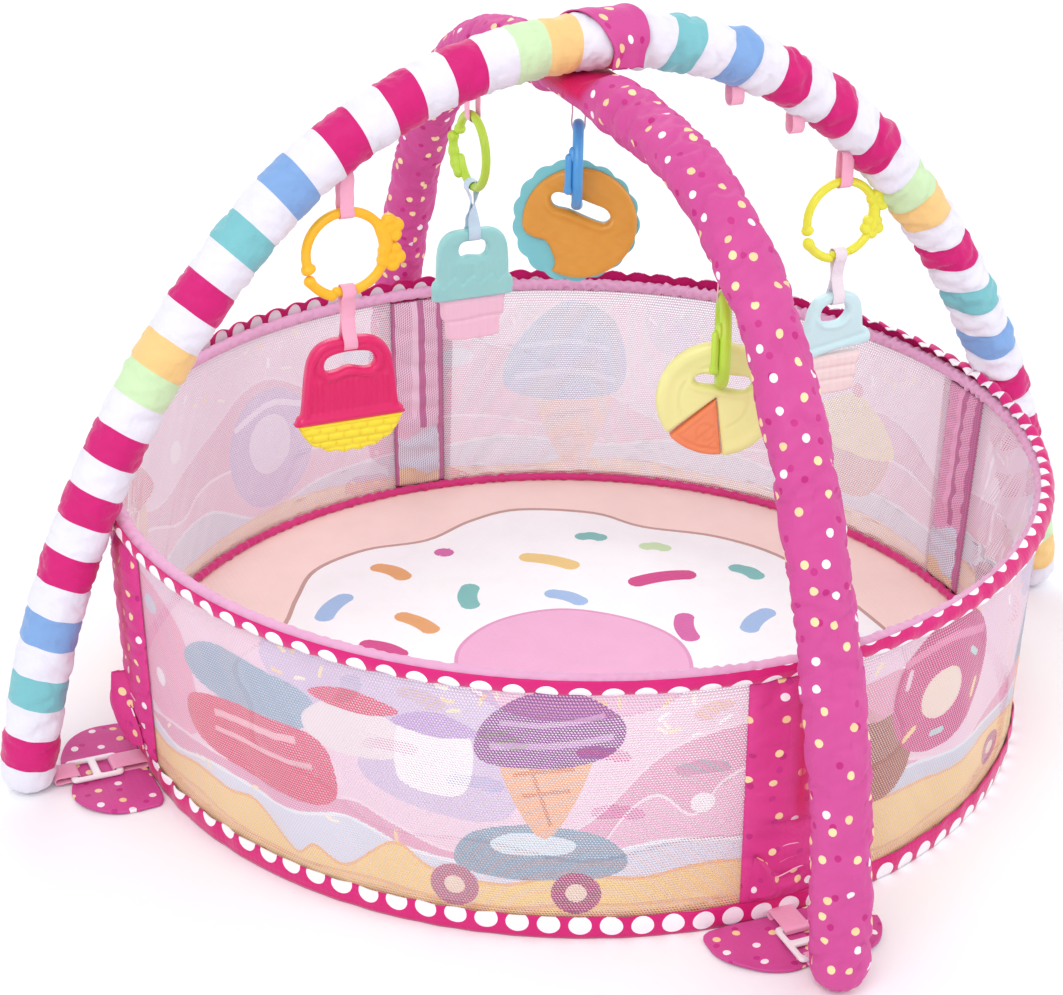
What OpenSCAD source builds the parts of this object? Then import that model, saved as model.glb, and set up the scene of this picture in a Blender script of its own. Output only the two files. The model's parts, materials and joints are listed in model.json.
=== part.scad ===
// Round activity play gym: a padded mat, a fold-down mesh wall with a sprung
// top hoop, two crossed padded arches and five hanging teether toys.
// Millimetres, +Z up. The origin is on the floor at the middle of the mat.
// The striped arch stands along X and the dotted arch along Y.

/* [Mat and wall] */
// Radius of the round padded mat
mat_r = 430; // [400:1:435]
// Thickness of the padded mat
mat_t = 14; // [10:1:18]
// Outer radius of the wall's top rim
rim_r = 447; // [440:1:448]
// Height of the wall, from the floor to the top of the rim
wall_h = 260; // [230:1:265]
// Half of the angle that one dotted wall post covers
post_half_angle = 3.9; // [3:0.1:5]
// Height of the bottom trim band
trim_h = 22; // [18:1:26]

/* [Arches] */
// Outer radius of the padded arch tubes
tube_r = 25; // [22:1:25]
// Length of the straight stretch at the foot of the striped arch
leg_len = 65; // [60:1:75]
// How far the dotted arch's centreline passes under the striped one
crossing_drop = 38; // [37:0.5:40]
// Radius of the rods inside the arches
rod_r = 4; // [3:0.5:4.5]

/* [Feet] */
// Radius of the half-round floor flaps
flap_r = 77; // [70:1:78]
// Outer length of a foot buckle
buckle_len = 48; // [44:1:50]
// Outer width of a foot buckle
buckle_w = 36; // [32:1:40]

/* [Toys] */
// Outer radius of the hanging rings
ring_r = 41; // [38:0.5:42]
// Radius of the rings' wire
wire_r = 4.2; // [3.5:0.1:4.5]
// Thickness of the flat teethers
teether_t = 12; // [10:1:14]
// Radius of the two-colour doughnut
doughnut_r = 56; // [50:1:58]

/* [Hidden] */
$fn = 96;

fabric_t = 1.2;          // thickness of the cover fabrics
gap = 0.3;               // air left between neighbouring soft pieces
big = 4000;              // size of a half space used to cut at the floor
quarter = 90;

// The four sides of the wall, as angles about Z
side_left = 180;
side_front = 270;
side_right = 0;
side_back = 90;
sides = [side_left, side_front, side_right, side_back];

// Top hoop
hoop_sleeve_r = 8;
hoop_wire_r = 2.5;
band_in_r = hoop_sleeve_r + 0.2;
band_out_r = band_in_r + fabric_t;
hoop_r = rim_r - band_out_r;
hoop_z = wall_h - band_out_r;

// Wall cone, from the top edge of the mat to the underside of the rim
wall_low_r = mat_r - 1;
wall_low_z = mat_t + gap;
wall_top_r = hoop_r;
wall_top_z = hoop_z - band_out_r - gap;
post_low_z = trim_h + gap;
pad_t = 3;
function wall_r(z) = wall_low_r
    + (wall_top_r - wall_low_r) * (z - wall_low_z) / (wall_top_z - wall_low_z);

// Arches: pairs of arc radius and the arc's end angle, counted from the apex
striped_arcs = [[422, 47.5], [898, 79.5]];
dotted_arcs = [[1940, 4.75], [307, 57.5], [883, 84.6]];
flat_angle = 1;          // half angle of the flattened stretch at the crossing
flat_half_t = 11.8;      // half thickness of that stretch
flat_half_w = 31;        // half width of that stretch
foam_in_r = rod_r + 1.6;
sleeve_in_r = tube_r - fabric_t;
foam_out_r = sleeve_in_r - gap;
ferrule_r = rod_r + 1.2;
ferrule_angle = 4.5;
rod_floor = 6;           // height at which the rods end inside the feet
cap_h = 14;
sole_t = 1.5;
seam_gap = 0.1;          // groove where two arcs of a tube meet
joint_len = 4;

function arc_start(arcs, i) = i == 0 ? 0 : arcs[i - 1][1];
function arc_x(arcs, i) = i == 0 ? 0 : arc_x(arcs, i - 1)
    + arcs[i - 1][0] * (sin(arcs[i - 1][1]) - sin(arc_start(arcs, i - 1)));
function arc_drop(arcs, i) = i == 0 ? 0 : arc_drop(arcs, i - 1)
    + arcs[i - 1][0] * (cos(arc_start(arcs, i - 1)) - cos(arcs[i - 1][1]));
function last_angle(arcs) = arcs[len(arcs) - 1][1];

striped_h = arc_drop(striped_arcs, 2) + leg_len * sin(last_angle(striped_arcs));
dotted_h = striped_h - crossing_drop;

// Height of an arch's underside straight below its centreline, inside one arc
function under_arc(arcs, i, h, x) = let(
    r = arcs[i][0],
    a0 = arc_start(arcs, i),
    a = asin((x - arc_x(arcs, i)) / r + sin(a0))
) h - arc_drop(arcs, i) - r * (cos(a0) - cos(a)) - tube_r / cos(a);

// Where the inner side of an arch's foot is at height z
function foot_inside(arcs, h, z) = let(n = len(arcs), a = last_angle(arcs))
    arc_x(arcs, n) + (h - arc_drop(arcs, n) - z) / tan(a) - tube_r / sin(a);

// Feet: the buckle lies flat between the mat and the foot
flap_t = 2.5;
flap_centre = mat_r + 1;
trim_out_r = mat_r + 0.6 + fabric_t;
buckle_mid = 480;
buckle_low = 5;
buckle_t = 4;
bar = 4.5;               // width of the buckle's end bars
mid_bar = 6;
web_w = 24;
web_t = 1.1;
web_half = buckle_t / 2 + gap + web_t;
web_end_room = 1.5;      // room past a bar for the webbing's round end

// Toys: middle of each ring, and the heights of what hangs from it
view_yaw = -24.5;        // the two doughnuts hang turned this far about Z
ring_line = ring_r - wire_r;
loop_play = 1.2;         // room between a ribbon and the wire inside it
spare_loops = [150, 215];
spare_drop = 18;
ribbon_t = 0.9;
ribbon_w = 13;
muffin_at = [-226, 0, 477];
cupcake_at = [0, 270, 463];
blue_at = [-6, 0, 532];
lime_at = [0, -280, 469];
cone_at = [272, 0, 447];
muffin_bar_z = 393;
cupcake_bar_z = 376;
cone_bar_z = 367;
handle_bar = 9;          // thickness of a teether's top bar

// ---------- shared shapes ----------

module ring_profile(r_out, r_in) {
    difference() {
        circle(r_out);
        if (r_in > 0) circle(r_in);
    }
}

module stadium(half_w, half_t) {
    square([2 * (half_w - half_t), 2 * half_t], center = true);
    for (s = [-1, 1]) translate([s * (half_w - half_t), 0]) circle(half_t);
}

module rounded_rect(w, h, r) {
    square([w - 2 * r, h], center = true);
    square([w, h - 2 * r], center = true);
    for (sx = [-1, 1], sy = [-1, 1])
        translate([sx * (w / 2 - r), sy * (h / 2 - r)]) circle(r);
}

// A 2D outline drawn in X and Z, given a thickness along Y
module upright(t) {
    rotate([90, 0, 0]) linear_extrude(t, center = true) children();
}

// A sector of a surface of revolution, centred on one side of the gym
module sector(mid, half) {
    rotate([0, 0, mid - half]) rotate_extrude(angle = 2 * half, $fn = 360) children();
}

// Section of the wall between two heights and two offsets from its inner face
module wall_section(z0, z1, off0, off1) {
    polygon([[wall_r(z0) + off0, z0], [wall_r(z0) + off1, z0],
             [wall_r(z1) + off1, z1], [wall_r(z1) + off0, z1]]);
}

// One arc of an arch in the XZ plane, from angle a0 to a1 past the apex
module arch_arc(arcs, i, h, a0, a1) {
    r = arcs[i][0];
    s = arc_start(arcs, i);
    cx = arc_x(arcs, i) - r * sin(s);
    cz = h - arc_drop(arcs, i) - r * cos(s);
    seam = asin(seam_gap / 2 / r);
    translate([cx, 0, cz]) rotate([90, 0, 0]) rotate([0, 0, 90 - a1 + seam])
        rotate_extrude(angle = a1 - a0 - 2 * seam, $fn = 360) translate([r, 0]) children();
}

// The straight leg of an arch, cut level at height z_cut
module arch_leg(arcs, h, z_cut) {
    n = len(arcs);
    a = last_angle(arcs);
    z0 = h - arc_drop(arcs, n);
    difference() {
        translate([arc_x(arcs, n), 0, z0]) rotate([0, 90 + a, 0])
            translate([0, 0, seam_gap / 2]) linear_extrude(z0 / sin(a) + 2 * tube_r) children();
        translate([0, 0, z_cut - big / 2]) cube(big, center = true);
    }
}

// A short sleeve inside the wall of a tube, which joins it across the end of arc i
module arch_joint(arcs, i, h, r_out, r_in) {
    depth = (r_out - r_in) / 4;
    translate([arc_x(arcs, i + 1), 0, h - arc_drop(arcs, i + 1)]) rotate([0, 90 + arcs[i][1], 0])
        linear_extrude(joint_len, center = true)
            ring_profile(r_out - depth, r_in == 0 ? 0 : r_in + depth);
}

// One side of an arch, from angle a_first down to the foot
module arch_side(arcs, h, a_first, z_cut, r_out, r_in) {
    for (i = [0 : len(arcs) - 1]) {
        if (arcs[i][1] > a_first)
            arch_arc(arcs, i, h, max(a_first, arc_start(arcs, i)), arcs[i][1])
                ring_profile(r_out, r_in);
        arch_joint(arcs, i, h, r_out, r_in);
    }
    arch_leg(arcs, h, z_cut) ring_profile(r_out, r_in);
}

// Closing plate at the bottom of a fabric foot
module foot_sole(arcs, h) {
    intersection() {
        arch_leg(arcs, h, 0) circle(sleeve_in_r);
        translate([0, 0, sole_t / 2]) cube([big, big, sole_t], center = true);
    }
}

module both_ways() {
    children();
    mirror([1, 0, 0]) children();
}

// A band of ribbon that hangs in a closed loop, wide along X
module hanging_loop(at, z_high, z_low, inner, w = ribbon_w) {
    mid = (z_high + z_low) / 2;
    half = (z_high - z_low) / 2;
    translate([at[0], at[1], mid]) rotate([90, 0, 90]) linear_extrude(w, center = true)
        rotate(90) difference() {
            stadium(half, inner + ribbon_t);
            stadium(half - ribbon_t, inner);
        }
}

// A plain ring standing in the XZ plane
module wire_ring() {
    rotate([90, 0, 0]) rotate_extrude() translate([ring_line, 0]) circle(wire_r, $fn = 48);
}

// Small moulded decorations on a ring, at an angle round it
module ring_flower(a, r = 8.5) {
    rotate([0, -a, 0]) translate([ring_line + 2, 0, 0]) rotate([90, 0, 0])
        linear_extrude(7, center = true) {
            circle(r * 0.62, $fn = 40);
            for (k = [0 : 4]) rotate(72 * k) translate([r * 0.62, 0]) circle(r * 0.42, $fn = 32);
        }
}

module ring_bead(a, r = 6.4) {
    rotate([0, -a, 0]) translate([ring_line, 0, 0]) sphere(r, $fn = 40);
}

// ---------- mat ----------

module mat_top_cover() {
    color("mistyrose") translate([0, 0, mat_t - fabric_t]) cylinder(fabric_t, r = mat_r, $fn = 360);
}

module mat_foam() {
    color("lightyellow") translate([0, 0, fabric_t])
        cylinder(mat_t - 2 * fabric_t, r = mat_r - fabric_t, $fn = 360);
}

module mat_base_cover() {
    color("lightpink") cylinder(fabric_t, r = mat_r, $fn = 360);
}

module floor_piping() {
    piping_r = 2.6;
    color("mediumvioletred") translate([0, 0, mat_t + piping_r])
        rotate_extrude($fn = 360) translate([mat_r - 5, 0]) circle(piping_r, $fn = 32);
}

module bottom_trim() {
    color("deeppink") rotate_extrude($fn = 360)
        translate([trim_out_r - fabric_t, 0.6]) square([fabric_t, trim_h - 0.6]);
}

// ---------- wall ----------

module wall_mesh(mid) {
    color("pink") sector(mid, quarter / 2 - post_half_angle - 0.05)
        wall_section(wall_low_z, wall_top_z, 0, fabric_t);
}

module mesh_left() { wall_mesh(225); }
module mesh_right() { wall_mesh(315); }
module mesh_back_right() { wall_mesh(45); }
module mesh_back_left() { wall_mesh(135); }

module wall_post(mid) {
    color("hotpink") sector(mid, post_half_angle)
        wall_section(post_low_z, wall_top_z, pad_t + gap, pad_t + gap + fabric_t);
}

module post_left() { wall_post(side_left); }
module post_front() { wall_post(side_front); }
module post_right() { wall_post(side_right); }
module post_back() { wall_post(side_back); }

module post_pads() {
    color("lightyellow") for (a = sides) sector(a, post_half_angle - 0.1)
        wall_section(post_low_z, wall_top_z, 0, pad_t);
}

module tie_straps() {
    strap_low = 44;
    strap_high = 80;
    strap_off = pad_t + fabric_t + 3 * gap;
    color("deeppink") for (a = sides) sector(a, post_half_angle + 0.2)
        wall_section(strap_low, strap_high, strap_off, strap_off + fabric_t);
}

// ---------- feet ----------

module floor_flap(side) {
    color("hotpink") rotate([0, 0, side]) linear_extrude(flap_t) difference() {
        translate([flap_centre, 0]) circle(flap_r, $fn = 120);
        circle(trim_out_r + gap, $fn = 360);
    }
}

module flap_left() { floor_flap(side_left); }
module flap_front() { floor_flap(side_front); }
module flap_right() { floor_flap(side_right); }
module flap_back() { floor_flap(side_back); }

module foot_buckles() {
    slot_len = (buckle_len - 2 * bar - mid_bar) / 2;
    slot_mid = (mid_bar + slot_len) / 2;
    slot_w = web_w + 1.5;
    color("white") for (a = sides) rotate([0, 0, a])
        translate([buckle_mid, 0, buckle_low]) linear_extrude(buckle_t) difference() {
            rounded_rect(buckle_len, buckle_w, 4);
            for (s = [-1, 1]) translate([s * slot_mid, 0]) square([slot_len, slot_w], center = true);
            translate([-slot_mid, buckle_w / 2]) square([2, buckle_w - slot_w + 1], center = true);
        }
}

// A flat loop of webbing, from radius r0 to r1, round one end bar of a buckle
module web_loop(r0, r1) {
    z = buckle_low + buckle_t / 2;
    translate([(r0 + r1) / 2, 0, z]) rotate([90, 0, 0]) linear_extrude(web_w, center = true)
        difference() {
            stadium((r1 - r0) / 2, web_half);
            stadium((r1 - r0) / 2 - web_t, web_half - web_t);
        }
}

module mat_webbing() {
    inner_bar_end = buckle_mid - buckle_len / 2 + bar;
    color("lightpink") for (a = sides) rotate([0, 0, a])
        web_loop(trim_out_r + gap, inner_bar_end + web_end_room + web_t);
}

module foot_webbing() {
    outer_bar_start = buckle_mid + buckle_len / 2 - bar;
    web_top = buckle_low + buckle_t / 2 + web_half;
    striped_face = foot_inside(striped_arcs, striped_h, web_top) - gap;
    dotted_face = foot_inside(dotted_arcs, dotted_h, web_top) - gap;
    color("lightpink") for (a = sides) rotate([0, 0, a])
        web_loop(outer_bar_start - web_end_room - web_t,
                 a == side_left || a == side_right ? striped_face : dotted_face);
}

// ---------- top hoop ----------

module hoop_wire() {
    color("silver") translate([0, 0, hoop_z]) rotate_extrude($fn = 360)
        translate([hoop_r, 0]) circle(hoop_wire_r, $fn = 32);
}

module hoop_sleeve() {
    color("plum") translate([0, 0, hoop_z]) rotate_extrude($fn = 360)
        translate([hoop_r, 0]) ring_profile(hoop_sleeve_r, hoop_wire_r + 0.2, $fn = 48);
}

module rim_band() {
    reach = 3 * band_out_r;
    color("mediumvioletred") translate([0, 0, hoop_z]) rotate_extrude($fn = 360)
        translate([hoop_r, 0]) difference() {
            ring_profile(band_out_r, band_in_r, $fn = 64);
            rotate(100) square([reach, reach]);
            rotate(170) square([reach, reach]);
        }
}

// ---------- striped arch ----------

module striped_shell(r_out, r_in, z_cut) {
    arch_arc(striped_arcs, 0, striped_h, -striped_arcs[0][1], striped_arcs[0][1])
        ring_profile(r_out, r_in);
    both_ways() arch_side(striped_arcs, striped_h, striped_arcs[0][1], z_cut, r_out, r_in);
}

module striped_sleeve() {
    color("whitesmoke") {
        striped_shell(tube_r, sleeve_in_r, 0);
        both_ways() foot_sole(striped_arcs, striped_h);
    }
}

module striped_foam() {
    color("lightyellow") striped_shell(foam_out_r, foam_in_r, sole_t + gap);
}

module striped_rod_half() {
    arch_side(striped_arcs, striped_h, 0, rod_floor, rod_r, 0, $fn = 40);
}

module striped_rod_right() { color("dimgray") striped_rod_half(); }
module striped_rod_left() { color("dimgray") mirror([1, 0, 0]) striped_rod_half(); }

module striped_ferrule() {
    color("silver") arch_arc(striped_arcs, 0, striped_h, -ferrule_angle, ferrule_angle)
        ring_profile(ferrule_r, rod_r + 0.1, $fn = 40);
}

// ---------- dotted arch ----------

module along_y() { rotate([0, 0, quarter]) children(); }

module flat_part(angle) {
    arch_arc(dotted_arcs, 0, dotted_h, -angle, angle) rotate(90) children();
}

// End wall between the round tube and the flattened stretch
module flat_end() {
    inset = fabric_t / 2;
    r = dotted_arcs[0][0];
    translate([r * sin(flat_angle), 0, dotted_h - r * (1 - cos(flat_angle))])
        rotate([0, 90 + flat_angle, 0]) linear_extrude(fabric_t, center = true) difference() {
            union() {
                circle(tube_r - inset);
                rotate(90) stadium(flat_half_w - inset, flat_half_t - inset);
            }
            circle(foam_in_r);
        }
}

module dotted_sleeve() {
    color("hotpink") along_y() {
        both_ways() {
            arch_side(dotted_arcs, dotted_h, flat_angle, 0, tube_r, sleeve_in_r);
            foot_sole(dotted_arcs, dotted_h);
            flat_end();
        }
        flat_part(flat_angle) difference() {
            stadium(flat_half_w, flat_half_t);
            stadium(flat_half_w - fabric_t, flat_half_t - fabric_t);
        }
    }
}

// The padding stops short of the end walls of the flattened stretch
end_wall_angle = asin((fabric_t / 2 + gap) / dotted_arcs[0][0]);

module dotted_foam_half() {
    arch_side(dotted_arcs, dotted_h, flat_angle + end_wall_angle, sole_t + gap, foam_out_r, foam_in_r);
}

module dotted_foam_back() { color("lightyellow") along_y() dotted_foam_half(); }
module dotted_foam_front() { color("lightyellow") along_y() mirror([1, 0, 0]) dotted_foam_half(); }

module crossing_pad() {
    color("lightyellow") along_y() flat_part(flat_angle - end_wall_angle) difference() {
        stadium(flat_half_w - fabric_t - gap, flat_half_t - fabric_t - gap);
        circle(foam_in_r);
    }
}

module dotted_rod_half() {
    arch_side(dotted_arcs, dotted_h, 0, rod_floor, rod_r, 0, $fn = 40);
}

module dotted_rod_back() { color("dimgray") along_y() dotted_rod_half(); }
module dotted_rod_front() { color("dimgray") along_y() mirror([1, 0, 0]) dotted_rod_half(); }

module dotted_ferrule() {
    color("silver") along_y() arch_arc(dotted_arcs, 0, dotted_h, -flat_angle * 0.9, flat_angle * 0.9)
        ring_profile(ferrule_r, rod_r + 0.1, $fn = 40);
}

// Flap of the dotted sleeve that wraps over the striped tube
module crossing_loop() {
    in_r = tube_r + 0.5;
    out_r = in_r + fabric_t;
    skirt = crossing_drop - flat_half_t;
    loop_w = 56;
    color("deeppink") translate([0, 0, striped_h]) rotate([90, 0, 90])
        linear_extrude(loop_w, center = true) {
            difference() {
                ring_profile(out_r, in_r, $fn = 120);
                translate([-big / 2, -big]) square([big, big]);
            }
            for (s = [-1, 1]) translate([s * (in_r + fabric_t / 2), -skirt / 2])
                square([fabric_t, skirt], center = true);
        }
}

// Plastic caps on the four lower rod ends
module rod_caps() {
    module cap(arcs, h) {
        difference() {
            arch_leg(arcs, h, rod_floor - 3) circle(rod_r + 1.4, $fn = 40);
            arch_leg(arcs, h, rod_floor) circle(rod_r + 0.1, $fn = 40);
            translate([0, 0, rod_floor + cap_h + big / 2]) cube(big, center = true);
        }
    }
    color("white") {
        both_ways() cap(striped_arcs, striped_h);
        along_y() both_ways() cap(dotted_arcs, dotted_h);
    }
}

// ---------- ribbon loops on the arches ----------

function ring_top(at) = at[2] + ring_line;
loop_in = wire_r + loop_play;

// A loop that rises into the arch and is cut off at the sleeve
loop_rise = 14;

module striped_loops() {
    color("lightpink") difference() {
        union() {
            for (at = [muffin_at, cone_at])
                hanging_loop(at, under_arc(striped_arcs, 0, striped_h, abs(at[0])) + loop_rise,
                             ring_top(at) - loop_in - ribbon_t, loop_in);
            for (x = spare_loops) let (high = under_arc(striped_arcs, 0, striped_h, x))
                hanging_loop([x, 0], high + loop_rise, high - spare_drop, 3, 9);
        }
        arch_arc(striped_arcs, 0, striped_h, -striped_arcs[0][1], striped_arcs[0][1])
            circle(tube_r + seam_gap / 2);
    }
}

module dotted_loops() {
    color("lightpink") {
        difference() {
            union() {
                hanging_loop_turned(cupcake_at, 0, loop_rise
                                    + under_arc(dotted_arcs, 1, dotted_h, cupcake_at[1]));
                hanging_loop_turned(lime_at, view_yaw, loop_rise
                                    + under_arc(dotted_arcs, 1, dotted_h, -lime_at[1]));
            }
            along_y() both_ways() arch_arc(dotted_arcs, 1, dotted_h, dotted_arcs[0][1], dotted_arcs[1][1])
                circle(tube_r + seam_gap / 2);
        }
        hanging_loop_turned(blue_at, view_yaw, dotted_h - flat_half_t - seam_gap);
    }
}

// A loop for a ring that stands in the YZ plane, turned by yaw
module hanging_loop_turned(at, yaw, z_high) {
    translate([at[0], at[1], 0]) rotate([0, 0, yaw + quarter])
        hanging_loop([0, 0], z_high, ring_top(at) - loop_in - ribbon_t, loop_in);
}

// ---------- toys ----------

// Places a toy whose ring stands across its own X axis
module turned(at, yaw) { translate([at[0], at[1], 0]) rotate([0, 0, yaw]) children(); }
module standing(at) { translate(at) children(); }

// A loop of ribbon, round at the top about a ring's wire and square round a teether's bar
module bar_loop(wire_z, low) {
    corner = 2;
    half = (teether_t + 1) / 2;
    translate([0, 0, wire_z]) rotate([90, 0, 90]) linear_extrude(ribbon_w, center = true)
        difference() {
            ribbon_outline(half + ribbon_t, wire_z - low, corner + ribbon_t);
            ribbon_outline(half, wire_z - low - ribbon_t, corner);
        }
}

// Half disc above, and a rectangle with rounded lower corners below
module ribbon_outline(half, drop, corner) {
    circle(half);
    translate([-half, corner - drop]) square([2 * half, drop - corner]);
    translate([corner - half, -drop]) square([2 * (half - corner), corner]);
    for (s = [-1, 1]) translate([s * (half - corner), corner - drop]) circle(corner);
}

function wire_low(at) = at[2] - ring_line;
function ribbon_low(bar_z) = bar_z - handle_bar / 2 - 1 - ribbon_t;

// Handle half of a teether: a rounded slab with a finger hole below its top bar
module handle_slab(w, h, bar_z, hole_w, hole_h) {
    top = bar_z + handle_bar / 2;
    upright(teether_t) difference() {
        translate([0, top - h / 2]) rounded_rect(w, h, h * 0.32);
        translate([0, bar_z - handle_bar / 2 - hole_h / 2]) stadium(hole_w / 2, hole_h / 2);
    }
}

// Lower half of a teether: a slab that narrows downwards
module cup_slab(w_top, w_low, z_top, z_low, t) {
    upright(t) polygon([[-w_top / 2, z_top], [w_top / 2, z_top], [w_low / 2, z_low], [-w_low / 2, z_low]]);
}

muffin_h = 80;
cupcake_h = 74;
cone_h = 66;
function slab_low(bar_z, h) = bar_z + handle_bar / 2 - h;

module orange_ring() {
    color("orange") standing(muffin_at) {
        wire_ring();
        for (a = [12, -18]) ring_flower(a);
        for (a = [200, 220]) ring_bead(a);
    }
}
module muffin_ribbon() {
    color("pink") turned(muffin_at, 0) bar_loop(wire_low(muffin_at), ribbon_low(muffin_bar_z));
}
module muffin_top() {
    color("crimson") turned(muffin_at, 0) handle_slab(94, muffin_h, muffin_bar_z, 46, 20);
}
module muffin_cup() {
    z = slab_low(muffin_bar_z, muffin_h);
    color("gold") turned(muffin_at, 0) cup_slab(90, 60, z, z - 30, teether_t);
}

module lime_ring() {
    color("yellowgreen") standing(cupcake_at) rotate([0, 0, quarter]) {
        wire_ring();
        for (a = [185, 205]) ring_bead(a, 5.8);
    }
}
// Upper half loops over the ring, lower half round the handle, sewn at the middle
module twisted_ribbon() {
    half = (teether_t + 1) / 2 + ribbon_t;
    high = wire_low(cupcake_at) + loop_in + ribbon_t;
    low = ribbon_low(cupcake_bar_z);
    mid = (high + low) / 2;
    lap = 1.5;
    color("lightblue") {
        turned(cupcake_at, quarter) hanging_loop([0, 0], high, mid - lap, loop_in);
        turned(cupcake_at, 0) {
            bar_loop(mid + lap - half, low);
            translate([0, 0, mid]) cube([ribbon_w - 2, ribbon_w - 2, lap], center = true);
        }
    }
}
module cupcake_top() {
    color("mediumaquamarine") turned(cupcake_at, 0) handle_slab(84, cupcake_h, cupcake_bar_z, 36, 17);
}
module cupcake_cup() {
    z = slab_low(cupcake_bar_z, cupcake_h);
    color("lightpink") turned(cupcake_at, 0) cup_slab(66, 56, z, z - 46, teether_t);
}

module blue_link() {
    color("steelblue") turned(blue_at, view_yaw) translate([0, 0, blue_at[2]]) rotate([0, 0, quarter])
        wire_ring();
}

// The doughnut hangs on the lowest point of its link
slot_h = 17;
doughnut_slot_z = blue_at[2] - ring_line + wire_r + 1 - slot_h / 2;
doughnut_z = doughnut_slot_z - 15;

module doughnut_slot() { translate([0, doughnut_slot_z]) stadium(25, slot_h / 2); }

module doughnut_back() {
    scallops = 18;
    color("cadetblue") turned(blue_at, view_yaw) translate([0, 3.2, 0]) upright(6) difference() {
        union() {
            translate([0, doughnut_z]) circle(doughnut_r - 3);
            for (k = [0 : scallops - 1]) translate([0, doughnut_z]) rotate(360 / scallops * k)
                translate([doughnut_r - 5, 0]) circle(6.5, $fn = 32);
        }
        doughnut_slot();
    }
}

module doughnut_front() {
    color("peru") turned(blue_at, view_yaw) translate([0, -3.2, 0]) upright(6) difference() {
        translate([3, doughnut_z]) circle(doughnut_r - 5);
        doughnut_slot();
        for (p = [[-36, -30], [-22, -44]]) translate([p[0], doughnut_z + p[1]]) circle(16, $fn = 48);
    }
}

module lime_link() {
    color("yellowgreen") turned(lime_at, view_yaw) translate([0, 0, lime_at[2]]) rotate([0, 0, quarter])
        wire_ring();
}

yellow_r = 50;
yellow_hole_r = 12;
yellow_hole_z = lime_at[2] - ring_line + wire_r + 1 - yellow_hole_r;
yellow_z = yellow_hole_z - 12;
wedge_half = 32;
wedge_turn = -17;         // the slice points down and to the left

module yellow_disc() {
    difference() {
        translate([-4, yellow_z]) circle(yellow_r);
        translate([0, yellow_hole_z]) circle(yellow_hole_r);
    }
}

// Triangle that covers the orange slice, with its point just under the hole
module wedge_area(grow) {
    reach = yellow_r * 1.5;
    translate([-4, yellow_hole_z - yellow_hole_r - 3 + grow]) rotate(wedge_turn)
        polygon([[0, 0], [-reach * sin(wedge_half), -reach * cos(wedge_half)],
                 [reach * sin(wedge_half), -reach * cos(wedge_half)]]);
}

module yellow_doughnut() {
    color("khaki") turned(lime_at, view_yaw) upright(teether_t) difference() {
        yellow_disc();
        wedge_area(0);
    }
}

module orange_wedge() {
    color("coral") turned(lime_at, view_yaw) upright(teether_t) intersection() {
        yellow_disc();
        wedge_area(-gap);
    }
}

module lemon_ring() {
    color("khaki") standing(cone_at) {
        wire_ring();
        for (a = [-4, -32]) ring_flower(a, 8);
        for (a = [205, 225]) ring_bead(a, 6);
    }
}
module cone_ribbon() {
    color("white") turned(cone_at, 0) bar_loop(wire_low(cone_at), ribbon_low(cone_bar_z));
}
module cone_top() {
    color("lightblue") turned(cone_at, 0) handle_slab(80, cone_h, cone_bar_z, 36, 17);
}
module cone_cup() {
    z = slab_low(cone_bar_z, cone_h);
    color("mistyrose") turned(cone_at, 0) cup_slab(62, 46, z, z - 40, teether_t);
}

mat_top_cover();
mat_foam();
mat_base_cover();
floor_piping();
bottom_trim();
mesh_left();
mesh_right();
mesh_back_right();
mesh_back_left();
post_left();
post_front();
post_right();
post_back();
post_pads();
tie_straps();
flap_left();
flap_front();
flap_right();
flap_back();
foot_buckles();
mat_webbing();
foot_webbing();
hoop_wire();
hoop_sleeve();
rim_band();
striped_sleeve();
striped_foam();
striped_rod_left();
striped_rod_right();
striped_ferrule();
dotted_sleeve();
dotted_foam_front();
dotted_foam_back();
crossing_pad();
dotted_rod_front();
dotted_rod_back();
dotted_ferrule();
crossing_loop();
rod_caps();
striped_loops();
dotted_loops();
orange_ring();
muffin_ribbon();
muffin_top();
muffin_cup();
lime_ring();
twisted_ribbon();
cupcake_top();
cupcake_cup();
blue_link();
doughnut_back();
doughnut_front();
lime_link();
yellow_doughnut();
orange_wedge();
lemon_ring();
cone_ribbon();
cone_top();
cone_cup();
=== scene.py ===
"""Activity play gym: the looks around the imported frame.
Metres, +Z up, origin on the floor at the mat's middle."""
import json
import math

import bmesh
import bpy
import numpy as np
from mathutils import Matrix, Vector
from mathutils.geometry import delaunay_2d_cdt

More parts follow.
